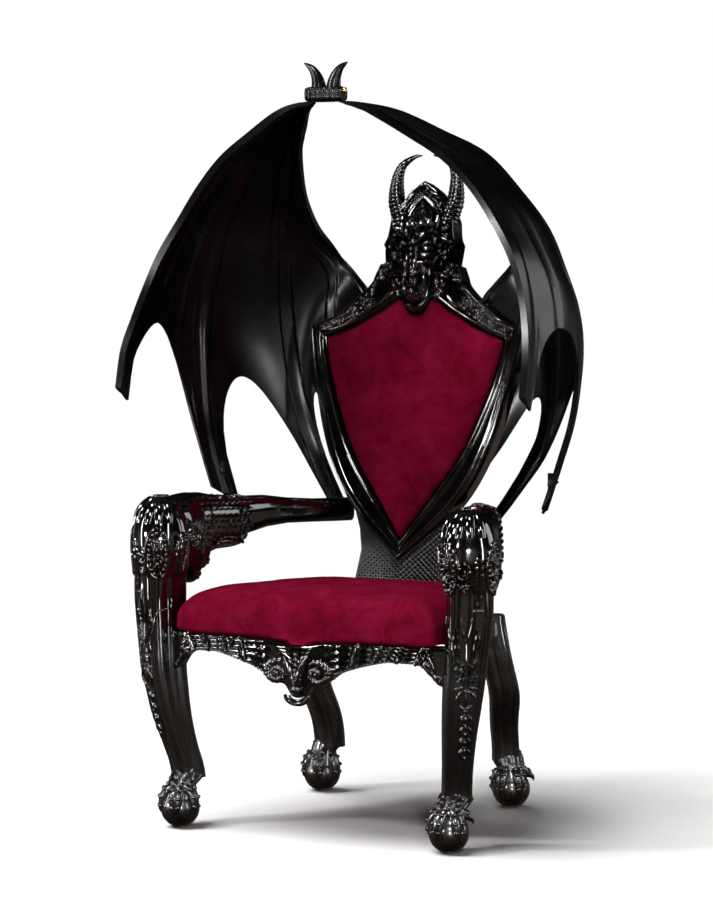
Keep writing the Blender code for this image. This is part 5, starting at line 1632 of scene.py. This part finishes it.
@dataclass
class Wing:
    """A moulded dragon wing: flat-topped bones with a groove on each side, and thin web between."""

    shield: Shield
    web: float = 0.0036
    bone_raise: float = 0.0046
    groove: float = 0.0034
    groove_width: float = 0.0042
    reach: float = 0.5386
    crease: float = 0.0075
    crease_width: float = 0.0050
    creases: tuple[tuple[float, float, float], ...] = (
        (0.20, 0.03, 0.66), (0.38, 0.03, 0.86), (0.56, 0.02, 0.52), (0.72, 0.03, 0.80), (0.86, 0.04, 0.60),
        (1.22, 0.05, 0.55), (1.45, 0.04, 0.42), (1.74, 0.06, 0.60), (2.30, 0.05, 0.45), (2.66, 0.10, 0.58))
    bulge: float = 0.030
    standoff: float = 0.0085
    rows: int = 170
    columns: int = 150
    steps: int = 300
    scallops: tuple[float, ...] = (0.27, 0.265, 0.24)
    squareness: tuple[float, ...] = (0.36, 0.44, 0.55)
    margins: tuple[float, ...] = (0.12, 0.10, 0.14)
    leans: tuple[float, ...] = (1.0, 0.78, 0.62)
    front_bone: tuple[Point, ...] = (
        (0.034, -0.224, 1.710), (0.110, -0.218, 1.689), (0.210, -0.200, 1.631), (0.285, -0.186, 1.581),
        (0.348, -0.176, 1.517), (0.403, -0.174, 1.440), (0.453, -0.184, 1.358), (0.484, -0.200, 1.280),
        (0.505, -0.222, 1.205), (0.519, -0.250, 1.130), (0.5215, -0.272, 1.040))
    second_bone: tuple[Point, ...] = (
        (0.034, -0.215, 1.712), (0.133, -0.130, 1.688), (0.228, -0.050, 1.636), (0.307, 0.017, 1.584),
        (0.375, 0.062, 1.496), (0.431, 0.085, 1.413), (0.468, 0.102, 1.313), (0.494, 0.118, 1.219),
        (0.502, 0.121, 1.123), (0.490, 0.111, 0.981), (0.462, 0.098, 0.868), (0.424, 0.098, 0.757))
    third_bone: tuple[Point, ...] = (
        (0.034, -0.207, 1.712), (0.125, -0.105, 1.686), (0.190, -0.010, 1.632), (0.280, 0.130, 1.512),
        (0.330, 0.205, 1.435), (0.360, 0.272, 1.300), (0.368, 0.308, 1.150), (0.352, 0.330, 1.000),
        (0.310, 0.337, 0.870), (0.262, 0.318, 0.785), (0.204, 0.300, 0.700))
    root_bone: tuple[Point, ...] = (
        (0.034, -0.199, 1.711), (0.101, -0.123, 1.688), (0.158, -0.040, 1.646), (0.232, 0.085, 1.560),
        (0.284, 0.190, 1.472), (0.296, 0.275, 1.392), (0.262, 0.345, 1.310))
    root_down: tuple[Point, ...] = ((0.264, 1.190), (0.238, 1.040), (0.196, 0.890), (0.122, 0.750))
    inner_edge: tuple[Point, ...] = (
        (0.034, -0.190, 1.707), (0.078, -0.140, 1.687), (0.119, -0.080, 1.655), (0.152, -0.030, 1.628),
        (0.184, 0.025, 1.597), (0.228, 0.128, 1.525), (0.246, 0.192, 1.472), (0.251, 0.260, 1.415),
        (0.245, 0.330, 1.371), (0.226, 0.366, 1.330), (0.180, 0.366, 1.282))
    inner_down: tuple[Point, ...] = (
        (0.150, 1.240), (0.125, 1.150), (0.110, 1.020), (0.095, 0.880), (0.075, 0.755))
    bone_widths: tuple[tuple[Point, Point], ...] = (
        ((0, 0.2, 0.6, 1), (0.010, 0.030, 0.044, 0.020)), ((0, 0.12, 0.5, 1), (0.003, 0.010, 0.018, 0.010)),
        ((0, 0.15, 0.55, 0.85, 1), (0.003, 0.010, 0.022, 0.026, 0.010)),
        ((0, 0.3, 0.6, 1), (0.002, 0.008, 0.014, 0.010)), ((0, 0.3, 1), (0.003, 0.010, 0.012)))

    def behind_shield(self, x: float, height: float) -> Array:
        """The wing's middle at a height where it lies on the rear of the shield."""
        shield = self.shield
        back = shield.thickness + self.standoff
        rise = (height - shield.foot_z + math.sin(shield.recline) * back) / math.cos(shield.recline)
        return shield.point(x, rise, -back)

    def bones(self) -> list[Array]:
        """Evenly divided courses of the wing's five lines."""
        free = [np.array(line) + (0, SHIFT_Y, 0) for line in
                (self.front_bone, self.second_bone, self.third_bone, self.root_bone, self.inner_edge)]
        free[3] = np.vstack([free[3], [self.behind_shield(x, z) for x, z in self.root_down]])
        free[4] = np.vstack([free[4], [self.behind_shield(x, z) for x, z in self.inner_down]])
        return [smooth_course(line, self.steps + 1) for line in free]

    def hem(self, place: Array) -> Array:
        """Share of the bones' length that the web reaches at each place across the wing."""
        index = np.minimum(place.astype(int), 3)
        reach = np.ones(len(place))
        for n in range(3):
            t = place[index == n] - n
            inside = np.clip((t - self.margins[n]) / (1 - 2 * self.margins[n]), 0, 1) ** self.leans[n]
            arch = np.clip(np.sin(math.pi * inside), 0, 1) ** self.squareness[n]
            reach[index == n] = 1 - self.scallops[n] * arch
        return reach

    def middle_surface(self) -> tuple[Array, Array, Array]:
        """Middle of the shell, with the place across and the share down of each of its points."""
        bones = np.array(self.bones())
        warp = np.linspace(0, 4, self.columns)
        place = warp - 0.055 * np.sin(2 * math.pi * warp)
        share = self.hem(place)[None] * (np.linspace(0, 1, self.rows)[:, None] ** 0.95)
        where = share * self.steps
        low = np.minimum(where.astype(int), self.steps - 1)
        part = (where - low)[..., None]
        lines = [bone[low] * (1 - part) + bone[low + 1] * part for bone in bones]
        index = np.minimum(place.astype(int), 3)
        t = (place - index)[None, :, None]
        stack = np.array([2 * lines[0] - lines[1], *lines, 2 * lines[4] - lines[3]])
        cols = np.arange(self.columns)
        a, b, c, d = (stack[index + k, :, cols].transpose(1, 0, 2) for k in range(4))
        bend = (2 * a - 5 * b + 4 * c - d) * t ** 2
        points = 0.5 * (2 * b + (c - a) * t + bend + (3 * b - a - 3 * c + d) * t ** 3)
        swell = self.bulge * np.sin(math.pi * np.clip(place, 0, 1))[None] * np.minimum(1, 1.6 * share)
        return points + swell[..., None] * np.array((1, 0, 0.15)), np.broadcast_to(place, share.shape), share

    def relief(self, points: Array, place: Array, share: Array) -> Array:
        """Rise of the bones and depth of their grooves above the web."""
        run = runs_across(points)
        height = np.zeros(share.shape)
        grow = np.clip((share - 0.02) / 0.10, 0, 1)
        for bone, (places, sizes) in enumerate(self.bone_widths):
            away = np.abs(run - run_at(run, place[0], bone))
            half = np.interp(share, places, sizes)
            soft = 0.35 * half + 0.0012
            plateau = np.clip((half + soft - away) / (2 * soft), 0, 1)
            height = np.maximum(height, self.bone_raise * plateau ** 2 * (3 - 2 * plateau) * grow)
            line = np.exp(-((away - half - 0.5 * soft) / self.groove_width) ** 2)
            height = height - self.groove * line * grow * np.clip((1.02 - share) / 0.2, 0, 1)
        return height

    def folds(self, points: Array, place: Array, share: Array) -> Array:
        """How far the shell is pressed inwards along its creases."""
        run = runs_across(points)
        dent = np.zeros(share.shape)
        for at_place, start, stop in self.creases:
            at = run_at(run, place[0], at_place)
            along = np.clip((share - start) / 0.08, 0, 1) * np.clip((stop - share) / 0.25, 0, 1)
            near = np.exp(-(np.abs(run - at) / (self.crease_width * (0.5 + 0.7 * along))) ** 2)
            room = np.clip(run[:, -1:] / 0.06, 0, 1)
            dent = np.maximum(dent, self.crease * near * along * room)
        return dent

    def shell(self, carving: Carving) -> None:
        """Adds the wing's shell, from wrist to scalloped hem."""
        points, place, share = self.middle_surface()
        down = np.gradient(points, axis=0)
        across = np.gradient(points, axis=1)
        normal = unit(np.cross(across, down))
        for _ in range(6):
            near = np.pad(normal, ((1, 1), (1, 1), (0, 0)), mode="edge")
            normal = unit(near[:-2, 1:-1] + near[2:, 1:-1] + near[1:-1, :-2] + near[1:-1, 2:] + 2 * normal)
        relief = self.relief(points, place, share)
        thin = np.clip(share / 0.03, 0.35, 1)
        half = np.minimum((self.web + relief) * thin, np.where(place > 2.9, self.standoff - 0.0008, 1))
        half = np.maximum(half, 0.0012)[..., None]
        inward = math.copysign(1, -normal[..., 0].mean())
        middle = points + normal * (inward * self.folds(points, place, share))[..., None]
        faces = [middle + normal * half, middle - normal * half]
        for face in faces:
            face[..., 0] = np.minimum(face[..., 0], self.reach)
        carving.sheet(*faces)

    def wrist(self, carving: Carving) -> None:
        """Adds the wrist: a ribbed cheek that meets the other wing's, and a claw that curls outwards."""
        y, top, count = -0.206 + SHIFT_Y, 1.746, 44
        angles = full_turn(count)
        sections = []
        for x in np.linspace(0.0003, 0.047, 34):
            rib = 0.0007 * math.cos(2 * math.pi * x / 0.0052)
            half_y = 0.0215 - 0.0050 * (x / 0.047) ** 4 + rib
            half_z = 0.0180 - 0.0030 * (x / 0.047) ** 4 + rib
            wide, tall = np.abs(np.cos(angles) / half_y) ** 3.4, np.abs(np.sin(angles) / half_z) ** 3.4
            out = (wide + tall) ** (-1 / 3.4)
            sections.append(np.column_stack([np.full(count, x), y + out * np.cos(angles),
                                             top - 0.0195 + out * np.sin(angles)]))
        carving.loft(np.array(sections))
        claw = smooth_course([(0.0190, y, top - 0.014), (0.0200, y, top + 0.004), (0.0250, y, top + 0.022),
                              (0.0370, y, top + 0.040), (0.0565, y, top + 0.0535)], 40)
        t = np.linspace(0, 1, 40)
        across, ups = course_frames(claw, np.tile((0, -1.0, 0), (40, 1)))
        size = 0.0175 * (1 - t) ** 0.72 + 0.0004
        turn = full_turn(28)
        facet = 1 + 0.16 * np.abs(np.cos(1.5 * (turn - math.pi / 2)))
        side, rise = (np.cos(turn) * facet)[:, None], (np.sin(turn) * facet)[:, None]
        ring = across[:, None] * side + 0.86 * ups[:, None] * rise
        carving.loft(claw[:, None] + size[:, None, None] * ring)

    def barb(self, carving: Carving) -> None:
        """Adds the node and the arrow barb at the second bone's tip."""
        tip = np.array((0.424, 0.098 + SHIFT_Y, 0.757))
        knot = np.array((0.4420, 0.0955 + SHIFT_Y, 0.8200))
        carving.bead(knot, np.array((0.2, -1.0, 0)), 0.0098, 0.9, 1.5, knot - tip)
        point, side = tip + (0.0015, 0, 0.002), knot + (0.0205, -0.002, 0.004)
        carving.spike(knot + (0.000, 0, 0.022), point, 0.0090, np.array((0.004, 0, 0)), 14, 12)
        carving.spike(knot + (0.002, 0, 0.004), side, 0.0070, np.array((0.0, 0, -0.003)))

    def build(self, finishes: Finishes) -> None:
        """Builds both wings."""
        carving = Carving()
        self.shell(carving)
        self.wrist(carving)
        self.barb(carving)
        make_pair(carving, "dragon_wing", "wing", finishes.moulded, 38)


@dataclass
class Bolt:
    """The small brass bolt that joins the wrists: a domed head and a round nut, turned alike; the head's slot
    is not cut.
    """

    y: float = -0.206
    height: float = 1.734

    def build(self, finishes: Finishes) -> None:
        """Builds the bolt."""
        carving = Carving()
        profile = ((0, 0.0002), (0, 0.004), (0.046, 0.004), (0.0465, 0.0078), (0.0495, 0.0078),
                   (0.0515, 0.0066), (0.0530, 0.0040), (0.0533, 0.0002))
        count = 28
        angles = full_turn(count)
        whole = [(-x, r) for x, r in profile[:0:-1]] + list(profile[1:])
        rings = [np.column_stack([np.full(count, x), self.y + SHIFT_Y + r * np.cos(angles),
                                  self.height + r * np.sin(angles)]) for x, r in whole]
        carving.loft(np.array(rings))
        stand_for(carving.object("wrist_bolt", finishes.brass), "wing_bolt")


@dataclass
class Studio:
    """Camera, soft lights, pale floor and backdrop."""

    azimuth: float = math.radians(26.1)
    pitch: float = math.radians(4.0)
    distance: float = 7.15
    side_step: float = -0.020
    eye_height: float = 1.39
    lens: float = 120
    floor_half: float = 60.0
    windows: int = 9
    aim: tuple[float, float, float] = (0.1, 0, 0.9)
    lamps: tuple[tuple[str, Point, tuple[float, float], float, bool], ...] = (
        ("key_softbox", (-2.9, -3.0, 3.9), (0.50, 0.50), 90, True),
        ("right_fill", (3.2, -4.9, 3.1), (0.40, 0.40), 70, True),
        ("high_left_glint", (-3.3, -3.4, 3.6), (0.60, 0.60), 60, False),
        ("front_glint", (-0.6, -6.0, 2.0), (0.50, 0.50), 50, False),
        ("high_right_glint", (3.0, -4.8, 3.6), (0.60, 0.60), 60, False),
        ("low_right_glint", (2.9, -4.6, 0.7), (0.40, 0.40), 70, False),
        ("low_left_glint", (-3.5, -3.0, 0.9), (0.50, 0.50), 70, False),
        ("top_glint", (0.3, -1.2, 4.3), (0.60, 0.40), 70, False),
        ("left_strip", (-3.6, -1.3, 1.2), (0.14, 2.2), 26, False),
        ("right_strip", (3.6, -1.6, 1.3), (0.18, 2.2), 30, False),
        ("rear_panel", (4.9, 3.1, 2.5), (3.6, 3.6), 95, False))

    def camera(self) -> None:
        """Sets the camera at the photograph's viewing angle."""
        inward = Vector((-math.sin(self.azimuth), math.cos(self.azimuth), 0))
        right = Vector((math.cos(self.azimuth), math.sin(self.azimuth), 0))
        place = -inward * self.distance + right * self.side_step + Vector((0, SHIFT_Y, self.eye_height))
        look = inward * math.cos(self.pitch) - Vector((0, 0, math.sin(self.pitch)))
        data = bpy.data.cameras.new("studio_camera")
        data.lens = self.lens
        item = bpy.data.objects.new("studio_camera", data)
        bpy.context.scene.collection.objects.link(item)
        turned = Matrix((right, right.cross(look), -look)).transposed().to_4x4()
        item.matrix_world = Matrix.Translation(place) @ turned
        bpy.context.scene.camera = item

    def light(self, name: str, place: Point, aim: Point, size: tuple[float, float], power: float,
              broad: bool) -> None:
        """Adds a soft rectangular light that faces a point.

        Args:
            name: The light's name.
            place: Where it hangs.
            aim: The point that it faces.
            size: Width and height.
            power: Watts.
            broad: Whether it also lights matt surfaces, or only makes highlights on the lacquer.
        """
        data = bpy.data.lights.new(name, "AREA")
        data.shape = "RECTANGLE"
        data.size, data.size_y = size
        data.energy = power
        item = bpy.data.objects.new(name, data)
        item.visible_diffuse = broad
        bpy.context.scene.collection.objects.link(item)
        item.location = place
        item.rotation_euler = (Vector(aim) - Vector(place)).to_track_quat("-Z", "Y").to_euler()

    def world(self) -> None:
        """Sets a pale backdrop, and a dimmer room for the light that reaches the throne."""
        world = bpy.data.worlds.new("studio")
        bpy.context.scene.world = world
        world.use_nodes = True
        tree = world.node_tree
        tree.nodes.clear()
        place = add_node(tree, "ShaderNodeTexCoord")
        split = add_node(tree, "ShaderNodeSeparateXYZ", links={"Vector": place.outputs["Generated"]})
        level = add_node(tree, "ShaderNodeMapRange", {"From Min": -1.0, "From Max": 1.0},
                         {"Value": split.outputs["Z"]})
        room = toned(tree, level.outputs["Result"], (0.0, "#3A302A"), (0.40, "#8C7C72"), (0.49, "#9A8C84"),
                     (0.56, "#34322F"), (0.75, "#1A1B1D"), (1.0, "#505256"))
        turn = add_node(tree, "ShaderNodeTexGradient", {"gradient_type": "RADIAL"},
                        {"Vector": place.outputs["Generated"]})
        spin = add_node(tree, "ShaderNodeMath", {"operation": "MULTIPLY", 1: 2 * math.pi * self.windows},
                        {0: turn.outputs["Fac"]})
        wave = add_node(tree, "ShaderNodeMath", {"operation": "SINE"}, {0: spin.outputs[0]})
        bars = add_node(tree, "ShaderNodeMapRange", {
            "From Min": -0.5, "From Max": 0.9, "To Min": 0.12, "To Max": 0.70}, {"Value": wave.outputs[0]})
        lit = add_node(tree, "ShaderNodeBackground", links={
            "Color": room, "Strength": bars.outputs["Result"]})
        pale = add_node(tree, "ShaderNodeBackground", {"Color": linear("#FFFFFF"), "Strength": 1.0})
        rays = add_node(tree, "ShaderNodeLightPath")
        both = add_node(tree, "ShaderNodeMixShader", links={0: rays.outputs["Is Camera Ray"],
                                                            1: lit.outputs[0], 2: pale.outputs[0]})
        add_node(tree, "ShaderNodeOutputWorld", links={"Surface": both.outputs[0]})

    def floor(self, material: bpy.types.Material) -> None:
        """Lays the pale floor."""
        bpy.ops.mesh.primitive_grid_add(x_subdivisions=24, y_subdivisions=24, size=2 * self.floor_half)
        item = bpy.context.active_object
        item.name = "studio_floor"
        item.location.z = -0.0005
        item.data.materials.append(material)
        item.visible_glossy = False
        item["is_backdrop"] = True

    def sun(self) -> None:
        """Adds the even light from a bright ceiling, which keeps the floor pale to its edge."""
        data = bpy.data.lights.new("ceiling_light", "SUN")
        data.energy = 3.9
        data.angle = math.radians(40)
        item = bpy.data.objects.new("ceiling_light", data)
        bpy.context.scene.collection.objects.link(item)
        item.rotation_euler = (math.radians(12), math.radians(-16), 0)
        item.visible_glossy = False

    def build(self, finishes: Finishes) -> None:
        """Sets up the stage."""
        self.camera()
        self.world()
        self.floor(finishes.floor)
        self.sun()
        for name, place, size, power, broad in self.lamps:
            self.light(name, place, self.aim, size, power, broad)
        scene = bpy.context.scene
        scene.view_settings.view_transform = "Standard"
        scene.view_settings.look = "None"


def dress_rails(finishes: Finishes) -> None:
    """Gives the plain rails, which stay as they are, their satin lacquer."""
    for node in ("side_rail_right", "side_rail_left", "rear_rail"):
        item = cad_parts[node]
        item.data.materials.clear()
        item.data.materials.append(finishes.plain)


def main() -> None:
    """Builds every piece of the throne and its stage, in order."""
    logging.basicConfig(level=logging.INFO, format="%(name)s: %(message)s")
    finishes = Finishes()
    shield = Shield()
    parts = {"studio": Studio(), "wings": Wing(shield), "shield and pad": shield, "splat": Splat(shield),
             "front legs": FrontLeg(), "rear legs": RearLeg(), "arms": Arm(FrontLeg()), "apron": Apron(),
             "seat cushion": SeatCushion(), "bolt": Bolt()}
    for name, part in parts.items():
        part.build(finishes)
        LOG.info("built the %s", name)
    dress_rails(finishes)
    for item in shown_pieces():
        LOG.info("%s: %d faces", item.name, len(item.data.polygons))


if __name__ == "__main__":
    main()
